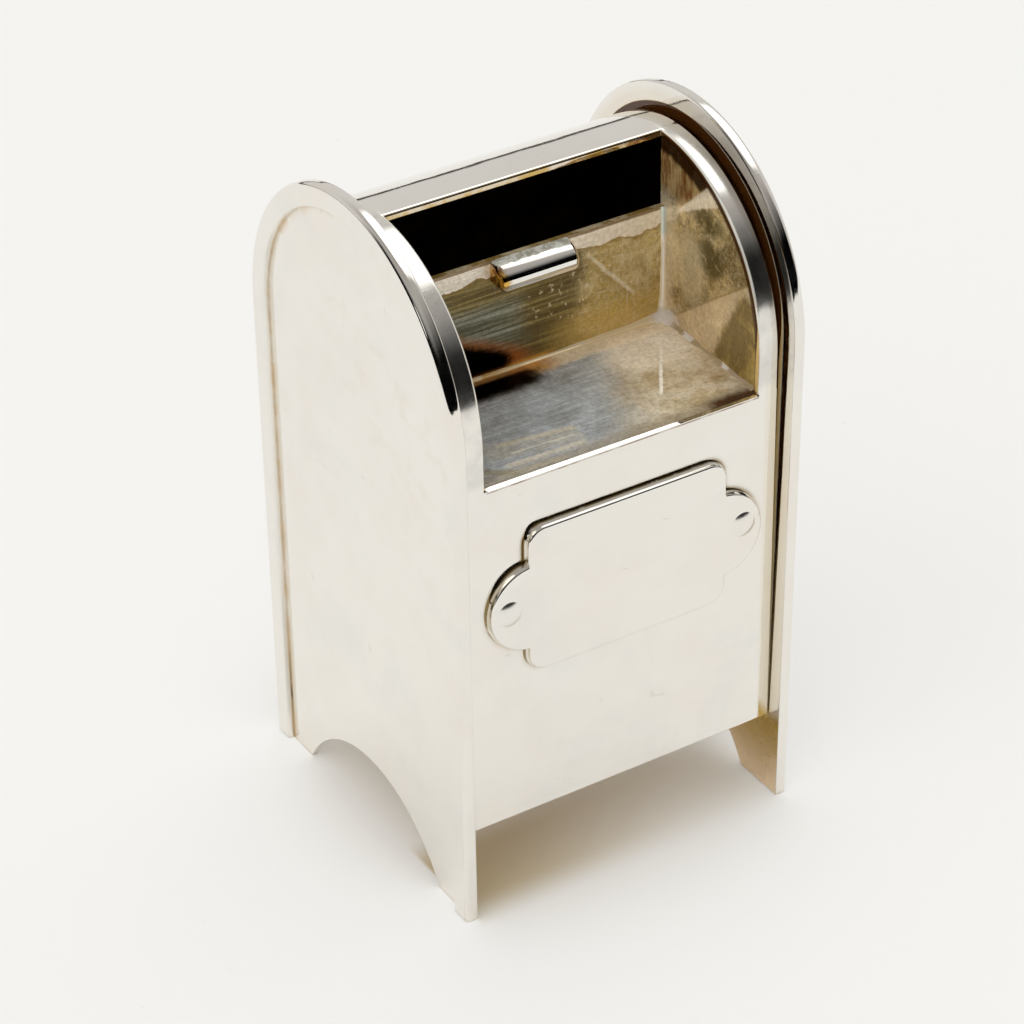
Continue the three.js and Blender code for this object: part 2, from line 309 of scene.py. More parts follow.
def new_finish(name):
    """A new material, its node builder, the shading point, and its X, Y and Z in millimetres."""
    material = bpy.data.materials.new(name)
    material.use_nodes = True
    n = Nodes(material.node_tree)
    at = n.make("ShaderNodeTexCoord", output=3)
    place = n.split(n.make("ShaderNodeVectorMath", {0: at, 3: 1 / MM}, operation="SCALE"))
    return material, n, at, place


SILVER_TINT = (0.875, 0.848, 0.792)
SILVER_PINK = (0.868, 0.820, 0.760)
SILVER_GREY = (0.820, 0.803, 0.765)
TARNISH = (0.40, 0.27, 0.10)
DARK_TARNISH = (0.20, 0.14, 0.045)
BROWN_BOUNCE = (0.34, 0.20, 0.07)


def finish_metal(n, tint, rough, bump, metallic=1.0, bounce=(0.93, 0.92, 0.90)):
    """The metal itself; to rays that have already met a matt surface it is matt, in the bounce colour."""
    metal = {"Base Color": tint, "Metallic": metallic, "Roughness": rough, "Normal": bump}
    shader = n.make("ShaderNodeBsdfPrincipled", metal)
    matt = n.make("ShaderNodeBsdfDiffuse", {0: bounce})
    depth = n.make("ShaderNodeLightPath").output("Diffuse Depth")
    mixed = n.make("ShaderNodeMixShader", {0: n.math("GREATER_THAN", depth, 0.5), 1: shader, 2: matt})
    n.make("ShaderNodeOutputMaterial", {0: mixed})


def spot(n, u, v, centre, reach, ragged=0.0):
    """1 inside an ellipse with half-axes reach round centre, fading out at its border."""
    distance = n.root_of_squares((u - centre[0]) / reach[0], (v - centre[1]) / reach[1])
    return n.ramp(distance + ragged, 1.25, 0.6)


def side_of(u, v, start, end):
    """Signed distance from the line through start and end, positive on its left."""
    du, dv = end[0] - start[0], end[1] - start[1]
    length = math.hypot(du, dv)
    return (u - start[0]) * (-dv / length) + (v - start[1]) * (du / length)


def polished_silver(
    name, crease, crease_distance=0.5, above=None, foot_y=None, opening=False, pitted=None, dull=0.0
):
    """Buffed silver plate: faint blotches and smears, hairline scratches, brown tarnish left in the creases.

    The faces that look inwards, towards the middle of the case, were never buffed: gold-brown at the foot and
    in a band round the edge. Where the body sheet comes close they are painted nearly black, as painted shade
    in the gap. With above set, the tarnish in creases is strong over that height and light under it. With
    foot_y set, the upright foot behind that depth is tarnished. With opening, the side edges of the opening
    are gold-brown and the rear lip is gold-brown tarnish with a painted reflection of the gold pocket; a
    painted shadow line runs under the front edge, a greyer strip along the body's end is a painted reflection
    of a rounded edge, and the arch beside the opening is greyer and duller, with a painted highlight along
    its edge. With pitted, a (Z, X) pair, the strip over that height is grey and pitted, and rust-brown flux
    is left near that end. dull is added to the roughness.
    """
    material, n, at, (x, y, z) = new_finish(name)
    normal_x, normal_y, _ = n.normal()
    blotch = n.ramp(n.noise(at, 150.0, 5.0, 0.6), 0.45, 0.66)
    cloudy = n.ramp(n.noise(n.stretch(at, (1, 1, 1), (0.4, 0.2, 1.1)), 95.0, 6.0, 0.68, 0.6), 0.50, 0.72)
    smear = n.ramp(n.noise(n.stretch(at, (90.0, 90.0, 260.0), (0.3, 0.5, 0.2)), 1.0, 6.0, 0.65), 0.45, 0.75)
    tint = n.mix(blotch * 0.9, SILVER_TINT, SILVER_PINK)
    tint = n.mix(cloudy * 0.75, tint, SILVER_GREY)
    tint = n.mix(smear * 0.35, tint, (0.915, 0.89, 0.845))
    mark_field = n.noise(n.stretch(at, (330.0, 330.0, 620.0), (0.5, 0.3, 0.6)), 1.0, 3.0, 0.6, 0.8)
    marks = n.ramp(mark_field, 0.70, 0.745) * 0.30
    tint = n.mix(marks, tint, (0.62, 0.57, 0.51))

    occlusion = n.make("ShaderNodeAmbientOcclusion", {"Distance": crease_distance * MM}, output=1, samples=8)
    grime = n.noise(at, 900.0, 4.0, 0.6) + 0.15
    edge = n.math("MULTIPLY", n.ramp(occlusion, 0.98, 0.55), grime, clamp=True)
    edge = n.math("MULTIPLY", edge, crease, clamp=True)
    deep = n.math("MULTIPLY", n.ramp(occlusion, 0.90, 0.68), crease, clamp=True)
    if above is not None:
        edge = edge * n.ramp(z, above - 1.0, above + 2.0, 0.75, 1.0)
        deep = deep * n.ramp(z, above - 1.0, above + 2.0)
    tint = n.mix(edge, tint, TARNISH)
    if above is not None:
        tint = n.mix(deep, tint, DARK_TARNISH)
    if foot_y is not None:
        foot = n.ramp(y, foot_y - 0.06, foot_y + 0.02) * n.ramp(n.noise(at, 700.0, 4.0, 0.6), 0.36, 0.50)
        tint = n.mix(foot * 0.9, tint, (0.30, 0.22, 0.07))
    if opening:
        patchy = n.ramp(n.noise(at, 500.0, 4.0, 0.6), 0.35, 0.60, 0.35, 1.0)
        top = BODY_SPRING + BODY_R
        # Rear lip: gold-brown tarnish, together with a painted reflection of the gold pocket it faces.
        lip = n.ramp(normal_y, -0.35, -0.75) * n.ramp(z, top - 2.0, top - 1.0)
        lip = lip * n.ramp(y, OPEN_REAR_Y - 0.6, OPEN_REAR_Y - 0.3)
        tint = n.mix(lip * patchy, tint, (0.62, 0.42, 0.14))
        # Painted reflection: a greyer strip along the body's end edge, standing in for the sheen of a rounded
        # edge.
        strip = n.ramp(x, wrap_hi.x - 1.2, wrap_hi.x - 1.0) * n.ramp(z, BODY_SPRING + 4.0, BODY_SPRING - 6.0)
        tint = n.mix(strip * 0.8, tint, (0.84, 0.79, 0.69))
        # Painted shadow: a thin dark line just under the opening's front edge; the mask is not limited to the
        # front, so the back gets the line at the same height too.
        line = n.ramp(z, OPEN_Z - 0.44, OPEN_Z - 0.36) * n.ramp(z, OPEN_Z - 0.26, OPEN_Z - 0.29)
        line = line * n.ramp(abs(x), OPEN_X, OPEN_X - 0.2)
        tint = n.mix(line * patchy * 0.8, tint, (0.22, 0.11, 0.04))
        side = n.ramp(abs(normal_x), 0.6, 0.9) * n.ramp(z, OPEN_Z, OPEN_Z + 1.0)
        side = side * n.ramp(abs(x), OPEN_X + 0.6, OPEN_X + 0.3)
        tint = n.mix(side * patchy, tint, (0.30, 0.19, 0.05))

    if opening:
        arch = n.ramp(abs(x), OPEN_X - 0.1, OPEN_X + 0.1) * n.ramp(z, OPEN_Z, OPEN_Z + 1.0)
        arch = arch * n.ramp(y, OPEN_REAR_Y + 1.5, OPEN_REAR_Y)
        mottle = n.ramp(n.noise(at, 420.0, 5.0, 0.65), 0.36, 0.62)
        tint = n.mix(arch * mottle * 0.45, tint, (0.60, 0.585, 0.56))
        # Painted highlight: a pale, less metallic line along the arch's edge beside the opening.
        painted_edge_highlight = arch * n.ramp(abs(x), OPEN_X + 0.26, OPEN_X + 0.18) * n.ramp(z, 46.0, 51.0)
        painted_edge_highlight = painted_edge_highlight * n.ramp(abs(normal_x), 0.90, 0.75)
        tint = n.mix(painted_edge_highlight * 0.8, tint, (0.90, 0.87, 0.78))
    if pitted is not None:
        specks = n.noise(at, 1500.0, 4.0, 0.6)
        matt = n.ramp(z + (n.noise(at, 900.0, 2.0) - 0.5) * 0.3, pitted[0] - 0.05, pitted[0] + 0.05)
        tint = n.mix(matt, tint, n.mix(n.ramp(specks, 0.40, 0.60), (0.40, 0.38, 0.30), (0.72, 0.72, 0.64)))
        flux = spot(n, x, z, (pitted[1] + 0.1, pitted[0] - 1.0), (0.8, 1.0), specks - 0.5)
        tint = n.mix(flux, tint, n.mix(n.ramp(specks, 0.42, 0.58), (0.26, 0.10, 0.01), (0.70, 0.42, 0.09)))
    inwards = n.ramp(n.math("SIGN", x) * normal_x, -0.80, -0.95)
    cloud = n.noise(at, 240.0, 5.0, 0.6)
    low = n.ramp(z, 9.0, 7.4)
    gold = n.mix(n.ramp(z + cloud * 5.0, 9.5, 3.0), (0.60, 0.42, 0.12), (0.86, 0.67, 0.47))
    tint = n.mix(inwards * low, tint, gold)
    rise = n.larger(z - END_SPRING, 0.0)
    radial = n.root_of_squares(y, rise)
    radial = radial + (cloud - 0.5) * 0.15
    higher = inwards * n.ramp(z, 7.2, 7.9)
    tint = n.mix(higher * n.ramp(radial, 16.0, 15.0, 0.0, 0.35), tint, (0.74, 0.66, 0.50))
    tint = n.mix(higher * n.ramp(radial, 14.62, 14.35, 0.0, 0.9), tint, (0.84, 0.60, 0.22))
    # Painted shade in the gap: the inward faces turn nearly black where the body sheet comes close, and black
    # further in.
    brink = radial - n.ramp(z, 42.0, 50.0, 0.0, 0.46)
    tint = n.mix(higher * n.ramp(brink, 14.08, 13.98), tint, (0.06, 0.020, 0.004))
    tint = n.mix(higher * n.ramp(radial, 13.5, 13.2), tint, (0.006, 0.003, 0.002))
    outwards = n.ramp(normal_x, -0.80, -0.95) * n.ramp(x, 0.0, -1.0)
    inner_edge = END_R - RIM_WIDTH
    seam = n.ramp(y, inner_edge - 0.28, inner_edge - 0.16) * n.ramp(y, inner_edge + 0.04, inner_edge)
    seam = seam * n.ramp(z, 11.5, 7.0)
    tint = n.mix(outwards * seam, tint, (0.10, 0.06, 0.025))
    border = n.ramp(radial, inner_edge - 0.9, inner_edge - 0.1) * n.ramp(radial, inner_edge + 0.2, inner_edge)
    border = border * n.ramp(n.noise(at, 260.0, 5.0, 0.65), 0.40, 0.62)
    border = border * n.ramp(y, -6.0, 9.0, 0.35, 1.0)
    tint = n.mix(outwards * border * 0.75, tint, (0.72, 0.54, 0.34))
    stain = n.ramp(n.noise(at, 330.0, 7.0, 0.72, 0.4), 0.50, 0.68) * n.ramp(z, 20.0, 54.0, 0.1, 1.0)
    stain = stain * n.ramp(n.noise(at, 90.0, 2.0, 0.5), 0.40, 0.62)
    tint = n.mix(outwards * stain * 0.40, tint, (0.78, 0.68, 0.56))

    hair_a = n.scratches(at, (260.0, 5200.0, 5200.0), (0.2, 0.4, 0.9))
    hair_b = n.scratches(at, (5200.0, 5200.0, 300.0), (0.5, 0.2, 0.3))
    hair = n.ramp(hair_a, 0.62, 0.75) + n.ramp(hair_b, 0.63, 0.76)
    rough = n.lerp(smear, 0.045, 0.10)
    rough = rough + hair * 0.05
    rough = rough + edge * 0.25
    rough = rough + inwards * low * 0.22
    wave = n.noise(at, 210.0, 2.0, 0.4)
    bump = n.bump(wave, 0.5, 0.00009)
    bump = n.bump(hair, 0.05, 0.00002, bump)
    metallic = n.lerp(higher * n.ramp(radial, 14.65, 14.4), 1.0, 0.35)
    if opening:
        rough = rough + arch * 0.09
        metallic = n.lerp(painted_edge_highlight, metallic, 0.45)
    if pitted is not None:
        rough = n.lerp(matt, rough, 0.5)
        metallic = n.lerp(matt, metallic, 0.25)
    rough = rough + dull
    finish_metal(n, tint, rough, bump, metallic)
    return material


def streaks(n, at, along, across, turn=(0.0, 0.0, 0.0), low=0.42, high=0.66):
    """Fine brushed lines that run along X."""
    return n.ramp(n.noise(n.stretch(at, (along, across, across), turn), 1.0, 6.0, 0.7), low, high)


def wear(n, at, tint):
    """Fine worn specks and short scratches through the tarnish, with darker pits between them."""
    pits = n.ramp(n.noise(at, 1500.0, 6.0, 0.75), 0.48, 0.66)
    tint = n.mix(pits * 0.42, tint, (0.26, 0.18, 0.06))
    grain = n.ramp(n.noise(at, 3200.0, 6.0, 0.8), 0.42, 0.60)
    tint = n.mix(grain * 0.22, tint, (0.98, 0.92, 0.72))
    specks = n.ramp(n.noise(at, 2300.0, 3.0, 0.6), 0.60, 0.68)
    specks = specks * n.ramp(n.noise(at, 300.0, 3.0, 0.5), 0.42, 0.60)
    tint = n.mix(specks * 0.65, tint, (0.95, 0.87, 0.66))
    cut_a = n.ramp(n.scratches(at, (4200.0, 4200.0, 260.0), (0.9, 0.5, 0.3)), 0.66, 0.71)
    cut_b = n.ramp(n.scratches(at, (260.0, 4200.0, 4200.0), (0.2, 0.9, 0.7)), 0.66, 0.71)
    return n.mix(n.larger(cut_a, cut_b) * 0.45, tint, (0.95, 0.90, 0.74))


def grained(n, at, tint):
    """The tint with a fine light and dark grain all over."""
    speckle = n.ramp(n.noise(at, 2600.0, 4.0, 0.75), 0.30, 0.70, 0.82, 1.16)
    return n.make("ShaderNodeVectorMath", {0: tint, 3: speckle}, operation="SCALE")


def pocket_back_finish(name):
    """Back wall: ochre tarnish, with olive brushing to the left and a long scratch on the right, with a line
    of painted shade beside the scratch.

    It is burnt black with an amber border low on the left, and worn clean along the top, where the upward
    top face is painted lighter as a painted highlight.
    """
    material, n, at, (x, _, z) = new_finish(name)
    cloud = n.noise(at, 170.0, 6.0, 0.65, 0.5)
    patch = n.noise(at, 420.0, 5.0, 0.6)
    fine = n.noise(at, 1300.0, 6.0, 0.7)
    wander = n.noise(at, 210.0, 9.0, 0.78) - 0.5
    tint = n.mix(n.ramp(cloud, 0.38, 0.62), (0.50, 0.37, 0.10), (0.80, 0.68, 0.38))
    tint = n.mix(n.ramp(patch, 0.46, 0.62) * 0.6, tint, (0.48, 0.34, 0.11))
    tint = wear(n, at, tint)
    lines = streaks(n, at, 70.0, 2600.0, (0.0, 0.05, 0.0))
    olive = n.mix(lines, (0.085, 0.055, 0.010), (0.30, 0.235, 0.075))
    left = n.ramp(x + wander * 9.0, 6.4, 3.6)
    tint = n.mix(left * 0.9, tint, olive)
    blue = n.mix(lines, (0.13, 0.13, 0.075), (0.42, 0.44, 0.36))
    far = n.ramp(x + wander * 8.0, 0.5, -3.0) * n.ramp(z, 48.6, 47.0)
    tint = n.mix(far * 0.9, tint, blue)
    ochre = n.ramp(z, 45.2, 43.0) * n.ramp(x, 0.0, 4.5)
    tint = n.mix(ochre * 0.55, tint, (0.66, 0.46, 0.12))
    fleck = n.ramp(fine, 0.57, 0.64) * spot(n, x, z, (3.4, 46.3), (4.2, 2.2), wander)
    tint = n.mix(fleck * 0.75, tint, (0.88, 0.80, 0.56))

    across = side_of(x, z, (5.8, 49.3), (10.05, 44.5)) + wander * 0.7
    length = n.ramp(z, 44.2, 45.0) * n.ramp(z, 49.7, 49.0)
    light_line = n.ramp(abs(across), 0.24, 0.07)
    # Painted shade: a dark line beside the scratch.
    dark_line = n.ramp(abs(across + 0.45), 0.34, 0.1)
    tint = n.mix(dark_line * length * 0.45, tint, (0.40, 0.28, 0.10))
    tint = n.mix(light_line * length * 0.55, tint, (0.93, 0.87, 0.70))

    rim = side_of(x, z, (-2.5, 43.0), (-6.6, 44.8)) + wander * 1.8
    sideways = x + wander * 4.0
    glow = n.ramp(rim, -1.3, 0.3) * n.ramp(sideways, 1.0, -1.8)
    tint = n.mix(glow * 0.9, tint, (0.42, 0.13, 0.02))
    amber = n.ramp(z, 42.0, 41.4) * n.ramp(sideways, 3.5, 1.0)
    tint = n.mix(amber * 0.85, tint, (0.82, 0.46, 0.09))
    burnt = n.ramp(rim, -0.4, 0.5) * n.ramp(sideways, -1.6, -2.8)
    burnt = burnt * n.ramp(z, 41.3, 41.9, 0.2, 1.0)
    tint = n.mix(burnt, tint, (0.004, 0.003, 0.002))

    level = 50.62 - abs(x) * 0.05
    ragged = (n.noise(at, 420.0, 3.0, 0.55) - 0.5) * 2.0
    height = z - level + ragged
    clean = n.ramp(height, 0.0, 0.12)
    under = n.ramp(height, -0.5, 0.0) * (1.0 - clean)
    tint = n.mix(under * 0.6, tint, (0.30, 0.19, 0.05))
    tint = n.mix(clean * 0.9, tint, (0.94, 0.86, 0.72))
    burr = n.ramp(z + wander * 0.3, back_hi.z - 0.36, back_hi.z - 0.22)
    tint = n.mix(burr * 0.85, tint, (0.20, 0.11, 0.03))
    # Painted highlight: the upward top face of the wall is made lighter, in patches.
    upwards = n.ramp(n.normal()[2], 0.7, 0.9)
    tint = n.mix(upwards, tint, n.mix(n.ramp(patch, 0.42, 0.58), (0.42, 0.28, 0.08), (0.86, 0.74, 0.46)))
    tint = grained(n, at, tint)
    rough = n.lerp(clean, n.lerp(cloud, 0.10, 0.24), 0.2)
    bump = n.bump(lines, 0.35, 0.00003)
    bump = n.bump(cloud, 0.6, 0.0001, bump)
    finish_metal(n, tint, rough, bump, n.lerp(burnt, 0.5, 1.0), BROWN_BOUNCE)
    return material


# Rubbed strokes near the floor's front left: start, end, half width, strength, colour.
WORKED_STROKES = (
    ((-10.4, -10.4), (-2.3, -11.6), 1.5, 0.35, (0.72, 0.64, 0.44)),
    ((-9.0, -9.8), (-2.3, -10.7), 0.35, 0.6, (0.90, 0.82, 0.62)),
    ((-9.8, -12.7), (-2.6, -12.9), 0.42, 0.7, (0.92, 0.85, 0.68)),
    ((-8.4, -11.3), (-2.9, -11.65), 0.12, 0.9, (1.0, 0.95, 0.78)),
    ((-12.2, -12.2), (-9.4, -13.9), 0.5, 0.6, (0.34, 0.28, 0.12)),
    ((-10.8, -13.6), (-5.0, -14.0), 0.2, 0.6, (0.92, 0.84, 0.55)),
)


def pocket_floor_finish(name):
    """Pocket floor: tan clouds on the right, blue-grey brushing and pale worn strokes on the left.

    A gold band along the rear edge burns to black on the left. A painted highlight lies on the right, and a
    thin pale line is a painted reflection of the upright solder fillet.
    """
    material, n, at, (x, y, _) = new_finish(name)
    cloud = n.noise(at, 160.0, 6.0, 0.65, 0.5)
    patch = n.noise(at, 380.0, 5.0, 0.6)
    wander = n.noise(at, 190.0, 9.0, 0.78) - 0.5
    tint = n.mix(n.ramp(cloud, 0.36, 0.64), (0.62, 0.46, 0.22), (0.97, 0.88, 0.68))
    tint = n.mix(n.ramp(patch, 0.46, 0.62) * 0.55, tint, (0.50, 0.36, 0.16))
    tint = wear(n, at, tint)
    lines = streaks(n, at, 90.0, 3600.0, (0.0, 0.0, 0.03), 0.34, 0.70)
    brushed = n.mix(lines, (0.42, 0.45, 0.46), (0.66, 0.71, 0.74))
    brushed = n.mix(n.ramp(patch, 0.44, 0.60) * 0.5, brushed, (0.70, 0.78, 0.84))
    brushed = n.mix(n.ramp(cloud, 0.44, 0.66) * 0.5, brushed, (0.24, 0.23, 0.19))
    bound = side_of(x, y, (5.4, -4.9), (2.4, -11.3)) + wander * 7.0
    tint = n.mix(n.ramp(bound, 2.8, -2.2), tint, brushed)

    for start, end, half, strength, colour in WORKED_STROKES:
        off = abs(side_of(x, y, start, end) + wander * 0.8)
        reach = n.ramp(x, start[0] - 0.3, start[0] + 0.2) * n.ramp(x, end[0] + 0.3, end[0] - 0.2)
        stroke = n.ramp(off, half, half * 0.5) * reach * n.ramp(patch, 0.30, 0.50, 0.4, 1.0)
        tint = n.mix(stroke * strength, tint, colour)

    front = n.ramp(y - wander * 3.0, -12.4, -13.8)
    tint = n.mix(front * 0.7, tint, (0.42, 0.36, 0.25))
    # Painted reflection: a thin pale line where the upright solder fillet would show in the floor.
    run = abs(side_of(x, y, (10.18, -4.67), (6.13, -10.66)) + wander * 0.3)
    run = n.ramp(run, 0.20, 0.08) * n.ramp(y, -10.9, -10.2) * n.ramp(y, -3.9, -5.2)
    tint = n.mix(run, tint, (1.0, 0.98, 0.86))
    # Painted highlight: a pale, less metallic spot on the right.
    glare = spot(n, x, y, (9.0, -4.6), (4.4, 3.2), wander)
    tint = n.mix(glare * 0.6, tint, (1.0, 0.92, 0.74))
    rear = n.ramp(y + wander * 1.6, -3.0, -2.2)
    tint = n.mix(rear * 0.85, tint, (0.97, 0.84, 0.60))
    sideways = x + wander * 5.0
    amber = n.ramp(sideways, 2.4, 0.2) * n.ramp(y, -3.4, -1.8)
    tint = n.mix(amber * 0.9, tint, (0.62, 0.30, 0.05))
    depth = y + wander * 2.6
    burnt = n.ramp(sideways, 0.4, -1.6) * n.ramp(depth, -4.4, -3.0) * n.ramp(y, -1.4, -1.9, 0.3, 1.0)
    tint = n.mix(burnt, tint, (0.008, 0.006, 0.004))
    corner = n.ramp(x + wander * 4.0, 7.6, 9.8) * n.ramp(y + wander * 2.0, -12.9, -13.8)
    tint = n.mix(corner * 0.95, tint, (0.07, 0.022, 0.004))
    tint = grained(n, at, tint)
    rough = n.lerp(cloud, 0.10, 0.22)
    bump = n.bump(lines, 0.35, 0.00003)
    bump = n.bump(cloud, 0.6, 0.0001, bump)
    metallic = n.lerp(burnt, n.lerp(n.larger(glare, run), 0.42, 0.12), 1.0)
    finish_metal(n, tint, rough, bump, metallic, BROWN_BOUNCE)
    return material


def pocket_cheek_finish(name):
    """Pocket side: olive-brown blotches; painted light in tan under a slanting line, edged by a dark line;
    painted shade in an olive wedge low at the front, a painted light spot, and tan at the back corner.
    """
    material, n, at, (_, y, z) = new_finish(name)
    cloud = n.noise(at, 210.0, 7.0, 0.70, 0.5)
    fine = n.noise(at, 1200.0, 6.0, 0.7)
    wander = n.noise(at, 230.0, 9.0, 0.78) - 0.5
    tint = n.mix(n.ramp(cloud, 0.40, 0.60), (0.22, 0.15, 0.04), (0.74, 0.57, 0.27))
    tint = n.mix(n.ramp(n.noise(at, 520.0, 5.0, 0.65), 0.47, 0.60) * 0.55, tint, (0.16, 0.11, 0.03))
    tint = wear(n, at, tint)
    # Painted light: tan under a slanting line, with a dark line along its edge.
    under = side_of(y, z, (-3.2, 42.8), (-12.3, 49.7)) + wander * 0.5
    tint = n.mix(n.ramp(under, -0.1, 0.2) * 0.6, tint, (0.92, 0.76, 0.50))
    painted_light_edge = n.ramp(abs(under), 0.16, 0.04) * n.ramp(y, -2.6, -3.6)
    tint = n.mix(painted_light_edge * 0.5, tint, (0.34, 0.24, 0.09))
    blot = spot(n, y, z, (-7.4, 49.8), (2.0, 1.7), wander)
    blot = n.larger(blot, spot(n, y, z, (-6.9, 53.2), (2.4, 1.3), wander))
    tint = n.mix(blot * n.ramp(fine, 0.66, 0.50) * 0.85, tint, (0.10, 0.075, 0.022))
    back = n.ramp(y + cloud * 2.2, -1.9, -0.4)
    tint = n.mix(back * n.ramp(z, 54.5, 52.0, 0.15, 1.0) * 0.75, tint, (0.90, 0.79, 0.58))
    # Painted shade: an olive wedge low at the front.
    shade = n.ramp(side_of(y, z, (-12.6, 49.6), (-8.4, 42.2)) + wander * 3.0, 0.5, -0.5)
    shade = shade * n.ramp(z + wander * 2.0, 49.4, 48.0)
    olive = n.mix(n.ramp(cloud, 0.44, 0.60), (0.17, 0.11, 0.012), (0.42, 0.30, 0.06))
    tint = n.mix(shade * 0.85, tint, olive)
    # Painted light: a pale spot.
    light = spot(n, y, z, (-4.6, 47.6), (2.4, 3.4), wander)
    tint = n.mix(light * 0.5, tint, (0.92, 0.82, 0.56))
    upper = side_of(y, z, (-5.2, 54.6), (-7.1, 56.4)) + wander * 0.6
    lower = side_of(y, z, (-3.5, 52.5), (-8.4, 55.2)) + wander
    band = n.ramp(upper, -0.15, 0.1) * n.ramp(lower, 0.15, -0.1) * n.ramp(y, -9.4, -8.6)
    tint = n.mix(band * 0.8, tint, (0.92, 0.82, 0.64))
    burnt = n.ramp(upper, 0.1, -0.2) * n.ramp(z + wander * 2.0, 52.6, 54.2)
    drips = n.noise(n.stretch(at, (900.0, 900.0, 190.0), (0.45, 0.0, 0.0)), 1.0, 5.0, 0.65)
    scorched = n.mix(n.ramp(drips, 0.42, 0.60), (0.26, 0.09, 0.015), (0.66, 0.47, 0.20))
    tint = n.mix(burnt * 0.9, tint, scorched)
    rise = z - BODY_SPRING
    radial = n.root_of_squares(y, rise)
    soot = burnt * n.ramp(radial + wander, BODY_R - 2.1, BODY_R - 1.5)
    tint = n.mix(soot * 0.95, tint, (0.035, 0.012, 0.003))
    white = spot(n, y, z, (-1.9, 41.6), (1.3, 0.9), wander)
    tint = n.mix(white * 0.8, tint, (0.90, 0.88, 0.84))
    tint = grained(n, at, tint)
    rough = n.lerp(cloud, 0.10, 0.24)
    lines = n.noise(n.stretch(at, (3000.0, 3000.0, 90.0)), 1.0, 5.0, 0.6)
    bump = n.bump(lines, 0.3, 0.00003)
    bump = n.bump(cloud, 0.6, 0.0001, bump)
    finish_metal(n, tint, rough, bump, 0.45, BROWN_BOUNCE)
    return material


def solder(name):
    """Solder run into the pocket's corners: brown flux stain with a few pale beads, greenish at the top."""
    material, n, at, (x, y, z) = new_finish(name)
    across = abs(x)
    bead = n.ramp(n.noise(at, 520.0, 5.0, 0.65), 0.53, 0.64)
    corner = n.ramp(across, 11.2, 12.6) * n.ramp(z, 42.7, 41.7) * n.ramp(y, -3.0, -1.8)
    ragged = (n.noise(at, 900.0, 5.0, 0.7) - 0.5) * 1.6
    drops = spot(n, y, z, (-4.6, 41.6), (0.7, 0.7), ragged)
    drops = n.larger(drops, spot(n, y, z, (-10.0, 41.3), (0.6, 0.6), ragged))
    drops = drops * n.ramp(across, 11.8, 12.2)
    pale = n.larger(corner * 0.85, n.larger(drops * 0.9, bead * 0.12))
    upright = n.ramp(z, 41.9, 42.6)
    rear = n.ramp(y, back_lo.y - 1.0, back_lo.y - 0.7) * n.ramp(x, OPEN_X - 0.5, OPEN_X - 1.5)
    run = n.mix(n.ramp(x + bead * 3.0, -7.0, 0.0), (0.60, 0.32, 0.04), (0.86, 0.72, 0.46))
    run = n.mix(rear, (0.56, 0.46, 0.29), run)
    tint = n.mix(upright, run, (0.90, 0.80, 0.58))
    # Painted highlight: a bright thin line down the upright fillet.
    painted_ridge_highlight = upright * n.ramp(abs(y - (back_lo.y - 0.10)), 0.07, 0.03)
    tint = n.mix(painted_ridge_highlight * n.ramp(n.noise(at, 700.0, 3.0, 0.6), 0.36, 0.50), tint, (1.0, 0.98, 0.92))
    tint = n.mix(pale, tint, (0.92, 0.90, 0.86))
    top = n.ramp(z, 48.8, 49.6) * n.ramp(y, -2.0, -1.6)
    tint = n.mix(top * 0.8, tint, (0.60, 0.68, 0.60))
    rough = n.lerp(pale, 0.15, 0.40)
    bump = n.bump(n.noise(at, 500.0, 5.0, 0.6), 0.5, 0.0001)
    finish_metal(n, tint, rough, bump, n.lerp(n.larger(pale, upright), 0.5, 0.4), BROWN_BOUNCE)
    return material


def dark_inside(name, tint_a=(0.05, 0.035, 0.018), tint_b=(0.13, 0.085, 0.035), bounce=BROWN_BOUNCE):
    """Inner faces that are never polished: heavy brown-black tarnish."""
    material, n, at, _ = new_finish(name)
    cloud = n.noise(at, 220.0, 6.0, 0.65)
    tint = n.mix(n.ramp(cloud, 0.4, 0.7), tint_a, tint_b)
    rough = n.lerp(cloud, 0.3, 0.6)
    bump = n.bump(n.noise(at, 1500.0, 4.0), 0.4, 0.0001)
    finish_metal(n, tint, rough, bump, 1.0, bounce)
    return material


silver = polished_silver("polished_silver", 0.5)
silver_body = polished_silver("polished_silver_body", 0.9, crease_distance=0.6, above=31.0, opening=True)
silver_rim = polished_silver("polished_silver_rim", 0.4, crease_distance=0.35)
silver_name = polished_silver("polished_silver_name", 0.3, crease_distance=0.3, foot_y=name_hi.y - 0.2)
silver_rivet = polished_silver("polished_silver_rivet", 0.6, crease_distance=0.3, dull=0.14)
silver_bar = polished_silver("polished_silver_bar", 0.8, pitted=(bar_hi.z - 0.25, bar_lo.x))
pocket_back_metal = pocket_back_finish("pocket_back_metal")
pocket_floor_metal = pocket_floor_finish("pocket_floor_metal")
pocket_cheek_metal = pocket_cheek_finish("pocket_cheek_metal")
solder_metal = solder("solder_metal")
inside_metal = dark_inside("inside_metal")
flange_metal = dark_inside("flange_metal", (0.05, 0.014, 0.005), (0.24, 0.10, 0.024))
hinge_metal = dark_inside("hinge_metal", (0.45, 0.40, 0.32), (0.62, 0.57, 0.48), (0.66, 0.52, 0.34))


# ---------------------------------------------------------------- end plates and rims

END_STEPS = 120


def end_plate_outline(bottom):
    radius = (FOOT_ARCH_HALF**2 + FOOT_ARCH_RISE**2) / (2 * FOOT_ARCH_RISE)
    centre = FOOT_ARCH_RISE - radius
    toe = math.degrees(math.asin((bottom - centre) / radius))
    points = [(-END_R, bottom)]
    points += arc(0, centre, radius, 180 - toe, toe, 48)
    points.append((END_R, bottom))
    points += arc(0, END_SPRING, END_R, 0, 180, END_STEPS)
    return points


